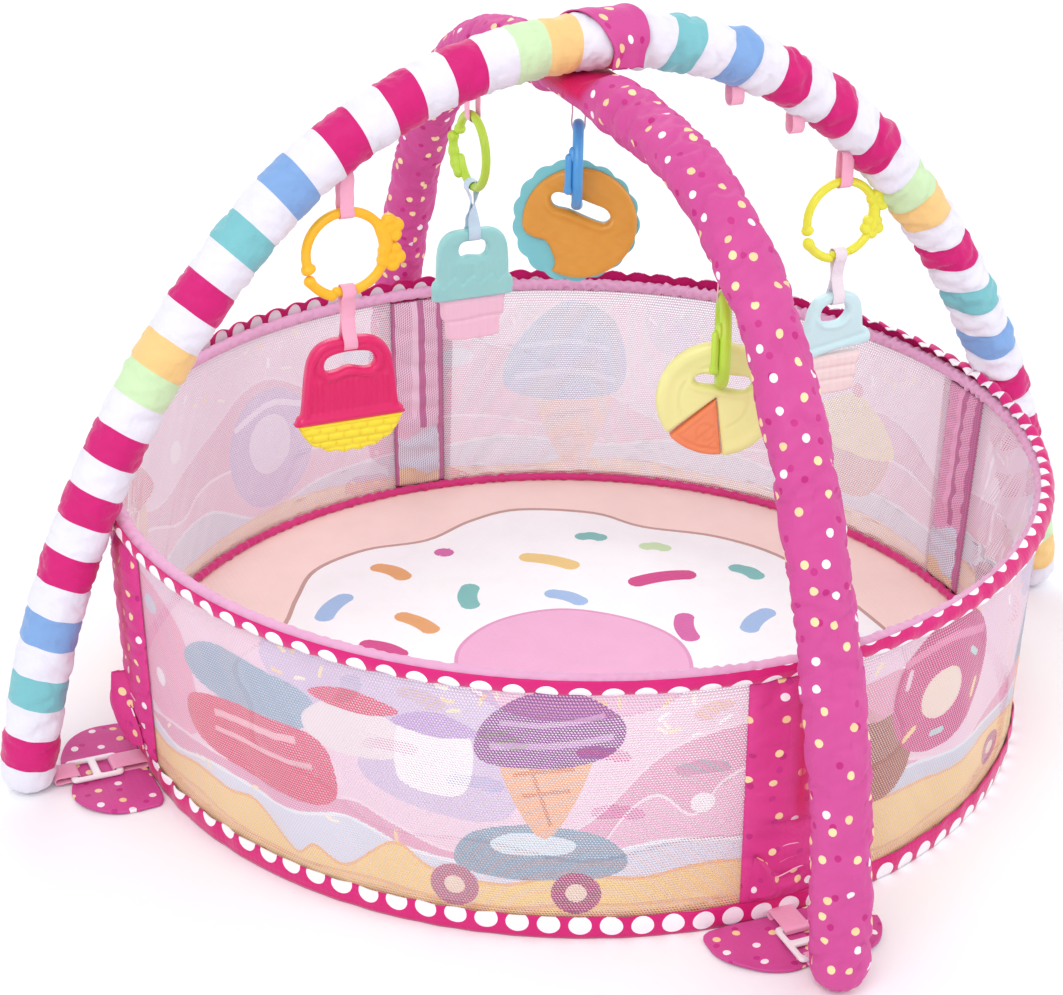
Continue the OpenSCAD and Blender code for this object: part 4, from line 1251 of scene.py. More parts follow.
def stadium_offsets(turn, half_out, half_side):
    """A flat oval's offsets outwards and sideways."""
    side = half_side * np.sin(turn)
    out = half_out * np.sign(np.cos(turn)) * np.abs(np.cos(turn)) ** 0.55
    return out, side


def make_dotted(cloth):
    half = arch_length(DOTTED_ARCS, dotted_top)
    cols = 72
    s_lines = np.concatenate([np.linspace(-half, -80, 230), np.linspace(-78, 78, 90),
                              np.linspace(80, half, 230)])
    s = s_lines[:, None]
    turn = np.linspace(-math.pi, math.pi, cols, endpoint=False)[None, :]
    soft = ripples(111, 14, (1, 3), (60, 220))
    crease = ripples(113, 12, (1, 4), (24, 70))
    fine = ripples(114, 12, (2, 7), (12, 30))
    near = np.exp(-(np.abs(s) / 130) ** 2)
    upper = np.clip(np.cos(turn), 0, 1)
    twist_fold = np.cos(2.0 * turn + s / 22) * near * (0.4 + 0.6 * upper)
    folds = 0.5 * soft(turn, s) + (0.35 + 1.0 * near) * crease(turn, s) + 0.2 * fine(turn, s)
    pleats = np.exp(-(half - np.abs(s)) / 14) * np.cos(12 * turn + 0.9 * np.sin(2 * turn)) * 1.2
    radius = tube_r - 0.5 + folds + pleats + 1.4 * twist_fold
    size = foot_size(half - np.abs(s))
    out, side = radius * np.cos(turn) * size, radius * np.sin(turn) * size
    flat_out, flat_side = stadium_offsets(turn, FLAT_HALF_T - 0.5, FLAT_HALF_W)
    round_part = ease((np.abs(s) - 24) / 34)
    out = flat_out * (1 - round_part) + out * round_part
    side = flat_side * (1 - round_part) + side * round_part
    points = arch_points(DOTTED_ARCS, dotted_top, s, out, side, turned=True)
    points[..., 2] = np.maximum(points[..., 2], 0.4)
    # Painted shadow: the upper side of the arch near its apex, under the striped tube's crossing, takes the
    # dotted satin's shade colour.
    crossing_shade = ease((50 - np.abs(s - 6)) / 12) * ease((np.cos(turn) + 0.15) / 0.3)
    across = np.linspace(0, TAU * tube_r, cols + 1)
    thing = surface("dotted_cover", points, cloth, s_lines + half, across, False, True, True, painted_shade=crossing_shade)
    rows = np.arange(len(s_lines))
    still = rows[(np.abs(s_lines) < 90) | (np.abs(s_lines) > half - 24)][:, None] * cols + np.arange(cols)
    ties = rows[::26][:, None] * cols + np.arange(cols // 2 - 9, cols // 2 + 9, 2)
    seam_line = rows * cols
    puff(thing, [*still.ravel(), *ties.ravel(), *seam_line], 2.5, 0.05, 2.6, 12)
    place_in(thing, "mat", "dotted_fabric", "dotted_sleeve", "dotted_foam_front", "dotted_foam_back",
             "crossing_pad")


def make_crossing(cloth):
    """The dotted cover's flap over the striped tube: slanting left edge, bulging right edge."""
    knots = np.array([(-150, -22, 14, 0), (-118, -22, 18, 0), (-80, -22, 26, 0), (-40, -16, 34, 0),
                      (0, -8, 42, 0), (30, -1, 47, 0), (60, 6, 48, 0), (85, 12, 47, 0), (100, 14, 44, 0),
                      (125, 12, 42, 0)], float)
    knots = curve_through(knots, 8)
    turn, left, right = np.radians(knots[:, 0]), knots[:, 1], knots[:, 2]
    v = np.linspace(0, 1, 34)
    wave = ripples(121, 9, (0, 3), (20, 60))
    gap = 1.1 + 0.9 * np.sin(v * math.pi)[None, :] + 0.45 * wave(turn[:, None], v[None, :] * 50)
    lift = 2.0 * np.exp(-((v[None, :] - 1) / 0.12) ** 2) + 1.2 * np.exp(-(v[None, :] / 0.08) ** 2)
    reach = tube_r + 1.2 + np.maximum(gap + lift, 0.6)
    lower = np.clip(np.abs(turn) - 1.6, 0, 1)[:, None]
    x = left[:, None] + (right - left)[:, None] * v[None, :]
    y = -(reach + 1.0 * lower) * np.sin(np.clip(turn, -1.75, 1.75))[:, None]
    z = striped_top + reach * np.cos(turn)[:, None] - 6 * lower
    middle = np.stack([x, np.broadcast_to(y, x.shape), np.broadcast_to(z, x.shape)], -1)
    thing = sheet_grid("crossing_wrap", middle, 1.2, cloth, turn * tube_r, v * 50)
    place_in(thing, "mat", "dotted_fabric", "crossing_loop")


# ---------- swept and moulded pieces ----------

def sweep(name, path, side, section, material, closed=False):
    """A section of (sideways, outwards) points carried along a path."""
    path = np.asarray(path, float)
    side = np.broadcast_to(np.asarray(side, float), path.shape)
    out = np.cross(tangents(path, closed), side)
    out /= np.linalg.norm(out, axis=1, keepdims=True) + 1e-9
    section = np.asarray(section, float)
    if section.ndim == 2:
        section = np.broadcast_to(section, (len(path), *section.shape))
    points = path[:, None] + side[:, None] * section[..., :1] + out[:, None] * section[..., 1:]
    across = run_lengths(closed_loop(section[0]))
    down = run_lengths(closed_loop(path) if closed else path)
    return surface(name, points, material, down, across, closed, True, caps=not closed)


def strap_section(width, thickness):
    """Section of a ribbon or webbing with rounded edges."""
    w, t = width / 2, thickness / 2
    x = np.array([-w, -w + t, -w / 3, w / 3, w - t, w])
    upper = np.array([0, t, t, t, t, 0])
    return np.column_stack([np.concatenate([x, x[-2:0:-1]]), np.concatenate([upper, -upper[-2:0:-1]])])


def turned(points, yaw, at=(0, 0)):
    """Points turned about Z and moved to a place."""
    c, s = np.cos(np.radians(yaw)), np.sin(np.radians(yaw))
    points = np.asarray(points, float)
    return np.stack([points[..., 0] * c - points[..., 1] * s + at[0],
                     points[..., 0] * s + points[..., 1] * c + at[1], points[..., 2]], -1)


def strap_loop(name, profile, at, yaw, width, thickness, material, body, slot, wave=0.0):
    """A closed loop of strap. profile is its (across, up) outline, which is wide along the yawed X axis."""
    path = curve_through(profile, 7, closed=True)
    flow = ripples(len(name) + int(abs(at[0])), 5, (0, 0), (14, 40))(0, path[:, 1])
    local = np.column_stack([wave * flow, path[:, 0] + 0.35 * wave * flow, path[:, 1]])
    side = turned([(1, 0, 0)], yaw)[0]
    thing = sweep(name, turned(local, yaw, at), side, strap_section(width, thickness), material, closed=True)
    return place_in(thing, body, slot)


def relief(name, outline, holes, front, back, spacing, material, world, near=(0.5, 1.2, 2.2)):
    """A moulded plate: front and back give its heights from the place and the distance to its edge."""
    flat, faces, _ = print_flat(outline, [], spacing, holes, near)
    reach = edge_distance(flat, [outline, *holes])
    x, y = flat[:, 0], flat[:, 1]
    upper, lower = np.column_stack([flat, front(x, y, reach)]), np.column_stack([flat, -back(x, y, reach)])
    return shell(name, flat, faces, world(upper), world(lower), material)[0]


def rounded(height, radius, reach, low=0.3):
    """Height of a plate with a rounded edge, at a distance from the edge."""
    t = np.clip(reach / radius, 0, 1)
    return height * (low + (1 - low) * np.sqrt(1 - (1 - t) ** 2))


def box_loop(width, height, radius, at=(0, 0)):
    """Outline of a rectangle with rounded corners."""
    corners = []
    for sx, sy, a in ((1, 1, 0), (-1, 1, 90), (-1, -1, 180), (1, -1, 270)):
        turn = np.radians(np.linspace(a, a + 90, 8))
        middle = np.array([sx * (width / 2 - radius), sy * (height / 2 - radius)])
        corners.append(middle + radius * np.stack([np.cos(turn), np.sin(turn)], 1))
    return resample(np.vstack(corners) + at, 1.6)


def resample(loop, step):
    """A closed loop with evenly spaced points."""
    closed = closed_loop(loop)
    length = run_lengths(closed)
    count = max(8, int(length[-1] / step))
    t = np.linspace(0, length[-1], count, endpoint=False)
    return np.stack([np.interp(t, length, closed[:, k]) for k in range(2)], 1)


# ---------- feet ----------

BUCKLE_MID, BUCKLE_LOW, BUCKLE_T = 480, 5, 4
BUCKLE_LEN, BUCKLE_W, BUCKLE_BAR, BUCKLE_MID_BAR = 48, 36, 6.5, 7.5
WEB_W, WEB_T = 24, 1.1
FLAP_SHAPE = [(433, -66), (452, -76), (474, -72), (494, -54), (505, -30), (504, -10), (499, 2), (504, 14),
              (508, 34), (500, 58), (478, 74), (452, 76), (433, 66), (434, 0)]


def make_feet(dotted, webbing, plastic):
    low, high = BUCKLE_LOW, BUCKLE_LOW + BUCKLE_T
    slot_len = (BUCKLE_LEN - 2 * BUCKLE_BAR - BUCKLE_MID_BAR) / 2
    slot_mid = (BUCKLE_MID_BAR + slot_len) / 2
    frame = box_loop(BUCKLE_LEN, BUCKLE_W, 4.5)
    slots = [box_loop(slot_len, WEB_W + 1.5, 1.6, (sign * slot_mid, 0)) for sign in (-1, 1)]
    for k, (side, angle) in enumerate(SIDES.items()):
        def flat_on_floor(points, angle=angle):
            return turned(points, angle)
        curl = ripples(130 + k, 6, (0, 0), (50, 120))

        def lift(x, y, reach, curl=curl):
            away = ease((x - 446) / 50)
            bumps = 1.1 * curl(0, x + 1.7 * y) * ease(reach / 9)
            hem = 0.7 * np.exp(-((reach - 4.0) / 1.1) ** 2)
            corner = 2.4 * away * ease((np.abs(y) - 26) / 34) * (0.6 + 0.4 * np.sin(y / 9 + k))
            return 2.7 + bumps * 0.8 - hem + corner
        flap = relief(f"flap_{side}_cloth", resample(blob(*FLAP_SHAPE), 3), [],
                      lambda x, y, reach: rounded(1.0, 2.0, reach) + lift(x, y, reach),
                      lambda x, y, reach: -np.maximum(lift(x, y, reach) - 1.6, 0.2), 3.2, dotted,
                      flat_on_floor)
        place_in(flap, "mat", "dotted_fabric", f"flap_{side}")

        def on_buckle(points, angle=angle):
            moved = points + (BUCKLE_MID, 0, (low + high) / 2)
            return turned(moved, angle)
        buckle = relief(f"buckle_{side}", frame, slots,
                        lambda x, y, reach: rounded(BUCKLE_T / 2, 1.6, reach),
                        lambda x, y, reach: rounded(BUCKLE_T / 2, 1.6, reach), 1.3, plastic, on_buckle,
                        (0.35, 0.9, 1.6))
        place_in(buckle, "mat", "white_plastic", "foot_buckles")
        middle = (low + high) / 2
        half = BUCKLE_T / 2 + 0.85
        inner_end = BUCKLE_MID - BUCKLE_LEN / 2 + BUCKLE_BAR + 1.5 + 0.5
        outer_start = BUCKLE_MID + BUCKLE_LEN / 2 - BUCKLE_BAR - 1.5 - 0.5
        arcs, top = (STRIPED_ARCS, striped_top) if side in ("left", "right") else (DOTTED_ARCS, dotted_top)
        foot = arch_place(arcs, top, np.array([arch_length(arcs, top) - 7]))[0][0] - tube_r + 1
        for part, r0, r1 in (("mat", trim_r + 0.9, inner_end), ("foot", outer_start, foot)):
            node = f"{part}_webbing"
            profile = [(r0, middle), (r0 + 2, middle + half), ((r0 + r1) / 2, middle + half + 0.2),
                       (r1 - 2, middle + half), (r1, middle), (r1 - 2, middle - half),
                       ((r0 + r1) / 2, middle - half), (r0 + 2, middle - half)]
            path = curve_through(profile, 7, closed=True)
            local = np.column_stack([path[:, 0], np.zeros(len(path)), path[:, 1]])
            band = sweep(f"{node}_{side}", turned(local, angle), turned([(0, 1, 0)], angle)[0],
                         strap_section(WEB_W, WEB_T), webbing, closed=True)
            place_in(band, "mat", "pink_webbing", node)


# ---------- ribbons that hold the toys ----------

def arch_under(arcs, top, x):
    """Height of a tube's underside at a distance from the apex."""
    s = np.linspace(0, 700, 7001)
    px, pz, angle = arch_place(arcs, top, s)
    k = np.argmax(px >= abs(x))
    return pz[k] - tube_r / math.cos(angle[k])


def long_loop(high, low, half):
    """Profile of a hanging loop, rounded at its low end."""
    return [(0, high), (half * 0.9, high - 3), (half, (high + low) / 2), (half, low + half),
            (half * 0.72, low + half * 0.3), (0, low), (-half * 0.72, low + half * 0.3), (-half, low + half),
            (-half, (high + low) / 2), (-half * 0.9, high - 3)]


RING_R, WIRE_R = 41, 4.2
RING_LINE = RING_R - WIRE_R
LOOP_HALF = WIRE_R + 1.6
VIEW_YAW = -24.5
TOY_PLACES = {"muffin": (-226, 0, 477), "cupcake": (0, 270, 463), "doughnut": (-6, 0, 532),
              "wedge": (0, -280, 469), "cone": (272, 0, 447)}


def make_arch_loops(ribbon):
    def hang(name, high, low, half, at, yaw, width, thickness, wave, node):
        profile = long_loop(high, low, half)
        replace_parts(strap_loop(name, profile, at, yaw, width, thickness, ribbon, "mat", "pink_ribbon", wave),
                    node)

    for toy in ("muffin", "cone"):
        x, y, z = TOY_PLACES[toy]
        high = arch_under(STRIPED_ARCS, striped_top, x) + 3
        hang(f"{toy}_hanger", high, z + RING_LINE - LOOP_HALF, LOOP_HALF, (x, y), 0, 13, 0.9, 0.5,
             "striped_loops")
    for k, x in enumerate((150, 215)):
        high = arch_under(STRIPED_ARCS, striped_top, x)
        hang(f"spare_loop_{k}", high + 3, high - 18, 7, (x, 0), 0, 13, 0.9, 0.3, "striped_loops")
    for toy, yaw, width in (("cupcake", 0, 13), ("wedge", VIEW_YAW, 7)):
        x, y, z = TOY_PLACES[toy]
        high = arch_under(DOTTED_ARCS, dotted_top, y) + 3
        hang(f"{toy}_hanger", high, z + RING_LINE - LOOP_HALF, LOOP_HALF, (x, y), yaw + 90, width, 0.9, 0.4,
             "dotted_loops")
    x, y, z = TOY_PLACES["doughnut"]
    high = dotted_top - FLAT_HALF_T + 1
    hang("doughnut_hanger", high, z + RING_LINE - LOOP_HALF, LOOP_HALF, (x, y), VIEW_YAW + 90, 1.8, 1.4, 0.3,
         "dotted_loops")


# ---------- toys ----------

def upright(at, yaw):
    """Puts a plate drawn in (x, height, depth towards the front) at its place on the gym."""
    def world(points):
        return turned(np.stack([points[:, 0], -points[:, 2], points[:, 1]], 1), yaw, at[:2])
    return world


def ring_piece(name, at, yaw, span, line, half_side, half_out, material, beads, shift):
    """A moulded arc standing along the yawed X axis. beads are (angle, growth, width in degrees)."""
    closed = span[1] - span[0] >= 360
    count = int((span[1] - span[0]) / 2.5)
    angle = np.linspace(*span, count + 1)[:-1 if closed else None]
    if not closed:
        bend = np.linspace(-1, 1, count + 1)
        angle = (span[0] + span[1]) / 2 + (span[1] - span[0]) / 2 * np.sin(bend * math.pi / 2)
    a = np.radians(angle)
    grow = np.ones(len(a))
    for middle, more, width in beads:
        grow += more * np.exp(-((angle - middle) / width) ** 4)
    if not closed:
        left = np.minimum(angle - span[0], span[1] - angle) * math.pi / 180 * line
        grow *= np.sqrt(np.clip(1 - (1 - np.clip(left / (half_out * 1.1), 0, 1)) ** 2, 0.01, 1))
    path = np.stack([line * np.cos(a), np.full_like(a, shift), line * np.sin(a) + at[2]], 1)
    section = oval_section(half_side, half_out, 18)[None] * grow[:, None, None]
    return sweep(name, turned(path, yaw, at[:2]), turned([(0, 1, 0)], yaw)[0], section, material, closed)


def flower(name, at, yaw, place, radius, tilt, material):
    """A five-petalled moulded flower on a ring."""
    turn = np.linspace(0, TAU, 90, endpoint=False)
    edge = radius * (0.80 + 0.20 * np.abs(np.cos(2.5 * turn)) ** 0.8)
    shape = turned_2d(np.stack([edge * np.cos(turn), edge * np.sin(turn)], 1), tilt)
    shape = shape + (place[0], place[1] + at[2])

    def height(x, y, reach):
        dx, dy = x - place[0], y - place[1] - at[2]
        r = np.hypot(dx, dy) / radius
        petal = np.abs(np.cos(2.5 * (np.arctan2(dy, dx) - math.radians(tilt))))
        domed = rounded(4.4, 3.4, reach, 0.25) + 0.9 * petal * ease(r * 1.6)
        return domed - 0.9 * np.exp(-((r - 0.36) / 0.1) ** 2) + 0.8 * np.exp(-(r / 0.24) ** 2)
    return relief(name, shape, [], height, height, 1.5, material, upright(at, yaw), (0.4, 1.0, 1.9))


def handle_ribbon(name, at, yaw_top, yaw_low, wire_z, bar_z, material, body, slot, node):
    """A sewn ribbon from a ring's wire down round a teether's top bar."""
    mid = (wire_z + bar_z) / 2
    half = [(0, wire_z + 6.6), (5.4, wire_z + 4.2), (6.4, wire_z - 2), (3.4, wire_z - 9), (1.3, mid + 3),
            (1.0, mid), (1.4, mid - 3), (4.6, bar_z + 9), (7.2, bar_z + 3), (7.3, bar_z - 3.5),
            (4.5, bar_z - 6.4), (0, bar_z - 6.6)]
    profile = half + [(-y, z) for y, z in half[-2:0:-1]]
    path = curve_through(profile, 7, closed=True)
    t = ease((wire_z - 6 - path[:, 1]) / (wire_z - bar_z - 14))
    yaw = yaw_top + (yaw_low - yaw_top) * t
    flow = ripples(len(name), 6, (0, 0), (16, 44))(0, path[:, 1])
    local = np.column_stack([0.5 * flow, path[:, 0] + 0.25 * flow, path[:, 1]])
    c, s = np.cos(np.radians(yaw)), np.sin(np.radians(yaw))
    side = np.stack([c, s, np.zeros_like(c)], 1)
    thing = sweep(name, turned(local, yaw, at[:2]), side, strap_section(13, 0.9), material, closed=True)
    return place_in(thing, body, slot, node)


def groove(value, width):
    return np.exp(-(value / width) ** 2)


BRICK_ROW, BRICK_LENGTH, BRICK_JOINT = 7.2, 15.0, 0.8


def bricks(x, z, high):
    """Depth of the joints of a brick pattern below a height."""
    level = (high - z) / BRICK_ROW
    k = np.floor(level)
    across = (x / BRICK_LENGTH + 0.5 * (k % 2)) % 1
    lower, upper = (level - k) * BRICK_ROW, (level - k - 1) * BRICK_ROW
    joint = np.maximum(groove(lower, BRICK_JOINT), groove(upper, BRICK_JOINT))
    upright_joint = groove(np.minimum(across, 1 - across) * BRICK_LENGTH, BRICK_JOINT)
    return np.maximum(joint, upright_joint)


def mirrored(half):
    """A left-right symmetric outline from its right half, from the top to the bottom."""
    return resample(blob(*[(-x, z) for x, z in half[::-1] if x > 0], *half, steps=8), 1.6)


def plate_piece(name, outline, holes, face, spacing, material, world, *place):
    """A moulded plate that is the same on both sides, attached to its body in place of its node; the slot it
    is given is not used.
    """
    place_in(relief(name, outline, holes, face, face, spacing, material, world), *place)


def ring_pieces(at, yaw, material, body, slot, *rows):
    """The parts of a ring: (name, span, line, half side, half out, beads, shift, nodes it stands for)."""
    for name, span, line, half_side, half_out, beads, shift, *nodes in rows:
        part = ring_piece(name, at, yaw, span, RING_LINE + line, half_side, half_out, material, beads, shift)
        place_in(part, body, slot, *nodes)


def flower_pieces(name, at, radius, material, body, slot, places):
    for k, (x, z, tilt) in enumerate(places):
        place_in(flower(f"{name}_{k}", at, 0, (x, z), radius, tilt, material), body, slot)


def make_muffin(m):
    at = TOY_PLACES["muffin"]
    world = upright(at, 0)
    ring = (m["orange"], "orange_ring_body", "orange_toy")
    ring_pieces(at, 0, *ring,
                ("orange_ring_wire", (-112, 207), 0, 4.4, 4.4, ((200, 0.55, 6), (12, 0.5, 22)), 0,
                 "orange_ring"),
                ("orange_ring_clip", (206, 256), 4.4, 4.6, 4.6, ((212, 0.2, 5),), -1.5))
    flower_pieces("orange_flower", at, 13.6, *ring, ((40, 17, 20), (41, -9, -8)))
    handle_ribbon("muffin_ribbon_band", at, 0, 0, at[2] - RING_LINE, 393, m["pink_ribbon"], "muffin_toy",
                  "pink_ribbon", "muffin_ribbon")
    top, low = 397.5, 317.5
    half = [(0, top), (17, top - 0.6), (30, top - 6), (38, top - 17), (41.5, top - 32), (44, top - 55),
            (46, top - 69), (49, top - 72), (50, low + 4), (48.5, low), (0, low)]
    outline = mirrored(half)
    hole = resample(blob((-24, 374), (-20, 381), (-8, 384), (8, 384), (20, 381), (24, 373), (21, 367),
                         (12, 367), (0, 370), (-12, 367), (-21, 367)), 1.4)

    def front(x, z, reach):
        plate = rounded(6.2, 3.2, reach)
        body_part = ease((z - low - 9) / 3)
        field = ease((reach - 6) / 1.6) * body_part
        ribs = 1.25 * np.abs(np.sin(math.pi * (x / 5.6 + 0.5))) * ease((362 - z) / 5) * ease((reach - 6) / 2)
        lip_line = 361.5 - 0.004 * x * x + 3.5 * groove(x, 12)
        lip = 1.3 * groove(z - lip_line, 2.2) * ease((27 - np.abs(x)) / 5)
        flange = 7.4 * np.sqrt(np.clip(1 - ((z - low - 4.6) / 5.0) ** 2, 0, 1))
        flange = flange * (0.55 + 0.45 * ease(reach / 3))
        return np.maximum(plate - 2.0 * field + (ribs + lip) * body_part, flange)
    plate_piece("muffin_body", outline, [hole], front, 1.7, m["magenta"], world, "muffin_toy", "magenta_toy",
                "muffin_top")
    half = [(0, low + 1), (46, low + 1), (47.5, low - 3), (44, low - 11), (36, low - 20), (25, low - 26),
            (13, low - 29), (0, low - 29.6)]
    outline = mirrored(half)
    outline[:, 1] += 0.9 * np.cos(outline[:, 0] / 2.4) * (outline[:, 1] < low - 14)

    def bowl(x, z, reach):
        plate = rounded(5.8, 3.0, reach) - 1.9 * bricks(x, z, low - 2) * ease(reach / 2)
        return plate + 0.8 * ease((z - low + 30) / 26)
    plate_piece("muffin_bowl", outline, [], bowl, 1.5, m["yellow"], world, "muffin_toy", "yellow_toy",
                "muffin_cup")


def make_cupcake(m):
    at = TOY_PLACES["cupcake"]
    world = upright(at, 0)
    ring_pieces(at, -90, m["lime"], "lime_ring_body", "lime_toy",
                ("lime_ring_wire", (-160, 168), 0, 4.5, 4.5, ((160, 0.35, 6),), 0, "lime_ring"),
                ("lime_ring_clip", (164, 238), 2.2, 4.7, 4.7,
                 ((172, 0.3, 6), (196, 0.25, 6), (214, 0.25, 6)), -5.5))
    handle_ribbon("cupcake_ribbon_band", at, 90, 0, at[2] - RING_LINE, 376, m["blue_ribbon"], "cupcake_toy",
                  "blue_ribbon", "twisted_ribbon")
    top, low = 380.5, 306.5
    half = [(0, top), (20, top - 0.5), (31, top - 6), (37, top - 17), (39, top - 34), (39.5, top - 51),
            (42, top - 54), (44, top - 60), (43.5, top - 68), (40, low), (0, low)]
    outline = mirrored(half)
    hole = resample(blob((-16, 360), (-13, 367), (-4, 369), (8, 369), (15, 364), (15, 355), (9, 351),
                         (-3, 353), (-12, 352)), 1.4)

    def front(x, z, reach):
        plate = rounded(6.2, 3.4, reach)
        recess = 1.8 * ease(1.6 - np.hypot((x + 5) / 22, (z - 359) / 14) * 1.5)
        drip = low + 20 + 4.2 * np.cos(x / 3.2 + 0.8) + 0.9 * np.cos(x / 1.6)
        flange = 2.0 * ease((drip - z) / 1.6)
        edge = 1.5 * groove(z - drip, 1.3)
        grain = 0.75 * np.abs(np.sin(x / 2.4)) * ease((350 - z) / 6) * ease((z - drip) / 4)
        return plate - recess * ease(reach / 3) + (flange + edge + grain) * ease(reach / 2.5)
    plate_piece("cupcake_body", outline, [hole], front, 1.7, m["teal"], world, "cupcake_toy", "teal_toy",
                "cupcake_top")
    half = [(0, low + 1), (33.5, low + 1), (34.5, low - 6), (34, low - 19), (31, low - 22.5),
            (29.5, low - 25), (29, low - 40), (25, low - 44), (10, low - 45.5), (0, low - 45)]
    outline = mirrored(half)

    def cup(x, z, reach):
        steps = 2.1 * groove(z - (low - 22 + 1.2 * np.sin(x / 11)), 1.7) + 0.9 * groove(z - (low - 2), 1.6)
        return rounded(5.9, 3.2, reach) - steps * ease(reach / 2) - 0.5 * groove((x % 9.5) - 4.7, 0.7)
    plate_piece("cupcake_bands", outline, [], cup, 1.6, m["pink"], world, "cupcake_toy", "pink_toy",
                "cupcake_cup")


def make_link(name, at, material, body, slot, node):
    """A flat link seen edge on, with the springy arm of its clip beside it."""
    ring_pieces(at, VIEW_YAW + 90, material, body, slot,
                (f"{name}_bar", (0, 360), 0, 4.9, 3.9, ((262, 0.12, 12), (98, 0.1, 10)), 0, node),
                (f"{name}_arm", (148, 206), 0.5, 3.2, 3.8, ((201, 0.3, 5),), 8.0),
                (f"{name}_neck", (138, 160), 0, 3.4, 3.6, (), 4.6))


def make_doughnut(m):
    at = TOY_PLACES["doughnut"]
    world = upright(at, VIEW_YAW)
    make_link("blue_link", at, m["blue"], "blue_link_body", "blue_toy", "blue_link")
    z0 = at[2] - 55.1
    slot = resample(turned_2d(blob((-28, 1), (-24, 7.5), (-8, 8.5), (8, 8.0), (22, 7.0), (29, 1), (25, -6),
                                   (12, -6.5), (-8, -5.0), (-22, -6)), -19) + (3, z0 + 14.5), 1.4)
    turn = np.linspace(0, TAU, 260, endpoint=False)
    edge = 55.3 + 2.9 * np.abs(np.cos(turn * 8.5 + 0.4)) + 0.8 * np.cos(turn * 3)
    outline = resample(np.stack([edge * np.cos(turn) - 1, edge * np.sin(turn) + z0 + 1], 1), 1.8)

    def back_plate(x, z, reach):
        return rounded(6.2, 3.4, reach, 0.3)

    def seat(x, z, reach):
        return np.full_like(x, 0.2)
    thing = relief("doughnut_glaze", outline, [slot], seat, back_plate, 2.0, m["dough_teal"], world)
    place_in(thing, "doughnut_toy", "teal_toy", "doughnut_back")
    a = np.radians(np.linspace(-118, 184, 150))
    round_part = np.stack([52.2 * np.cos(a), 52.2 * np.sin(a)], 1)
    bite = curve_through([(-52.1, -3.6), (-49, -9.5), (-40, -14.5), (-33.5, -15.6), (-28.5, -20), (-25, -28),
                          (-22, -38), (-24.5, -46.1)], 8)
    outline = resample(np.vstack([round_part[:-1], bite[1:-1]]) + (3, z0), 1.7)

    def face(x, z, reach):
        slot_reach = edge_distance(np.column_stack([x, z]), [slot])
        crumbs = 0.35 * np.cos(x / 2.9 + 1.3 * np.cos(z / 4.1)) * np.cos(z / 3.4) ** 3
        lip = 1.7 * groove((slot_reach - 4.5), 2.6) * ease((z0 + 18 - 0.42 * x - z) / 7)
        hollow = 1.4 * ease(1 - slot_reach / 13) * ease((z - z0 - 14 + 0.42 * x) / 7)
        return rounded(6.6, 3.6, reach) + crumbs * ease(reach / 6) + (lip - hollow) * ease(reach / 2)
    thing = relief("doughnut_dough", outline, [slot], face, lambda x, z, reach: np.full_like(x, -0.3), 1.9,
                   m["brown"], world)
    place_in(thing, "doughnut_toy", "brown_toy", "doughnut_front")


def make_wedge(m):
    at = TOY_PLACES["wedge"]
    world = upright(at, VIEW_YAW)
    make_link("lime_link", at, m["lime"], "lime_link_body", "lime_toy", "lime_link")
    z0, x0 = at[2] - 53.5, -2
    slot = resample(turned_2d(blob((-23, 1), (-19, 5.4), (-8, 6.4), (8, 7.6), (20, 7.4), (24, 1), (19, -5.4),
                                   (6, -5.6), (-8, -3.6), (-19, -3.4)), -5) + (1, z0 + 15.5), 1.4)
    apex = np.array([-3, z0 + 2.5])
    left, right = math.radians(222), math.radians(278)
    a = np.linspace(right - 0.02, left + TAU + 0.02, 170)
    arc = np.stack([50.6 * np.cos(a) + x0, 50.6 * np.sin(a) + z0], 1)
    along = np.arctan2(arc[:, 1] - apex[1], arc[:, 0] - apex[0]) % TAU
    outside = (along < left - 0.004) | (along > right - 0.02)
    disc = resample(np.vstack([apex, arc[outside]]), 1.7)

    def plate(x, z, reach):
        r = np.hypot(x - x0, z - z0)
        rim = 1.2 * groove(r - 44, 4.2)
        slot_reach = edge_distance(np.column_stack([x, z]), [slot])
        arcs = groove(r - 31, 1.0) * ease((x0 + 2 - x) / 8) + groove(r - 25, 0.9) * ease((x - x0 - 6) / 6)
        collar = 1.1 * groove(slot_reach - 3.4, 2.0)
        hollow = 1.6 * ease(1 - slot_reach / 12) * ease((z - z0 - 18) / 6)
        return rounded(5.6, 3.4, reach) + (rim - arcs + collar - hollow) * ease(reach / 2.5)
    plate_piece("wedge_disc", disc, [slot], plate, 1.8, m["pale_yellow"], world, "wedge_toy",
                "pale_yellow_toy", "yellow_doughnut")
    b = np.linspace(left + 0.012, right - 0.012, 40)
    slice_arc = np.stack([51.2 * np.cos(b), 51.2 * np.sin(b)], 1) + apex
    slice_arc = slice_arc + (0, -0.5)
    shape = resample(np.vstack([apex + (0, -1.2), slice_arc]), 1.6)

    def pulp(x, z, reach):
        dx, dz = x - apex[0], z - apex[1]
        r, way = np.hypot(dx, dz), np.arctan2(dz, dx)
        cells = groove(((way - left + TAU) % TAU) * r % 13 - 6.5, 0.8)
        cells = cells * ease((r - 12) / 6) * ease((45 - r) / 3)
        skin = groove(r - 45.5, 1.0)
        swirl = groove(np.hypot(dx + 7, dz + 31) - 7.5, 0.9)
        return rounded(5.9, 2.8, reach) - (0.7 * cells + 1.0 * skin + 0.6 * swirl) * ease(reach / 2)
    plate_piece("wedge_slice", shape, [], pulp, 1.5, m["coral"], world, "wedge_toy", "coral_toy",
                "orange_wedge")


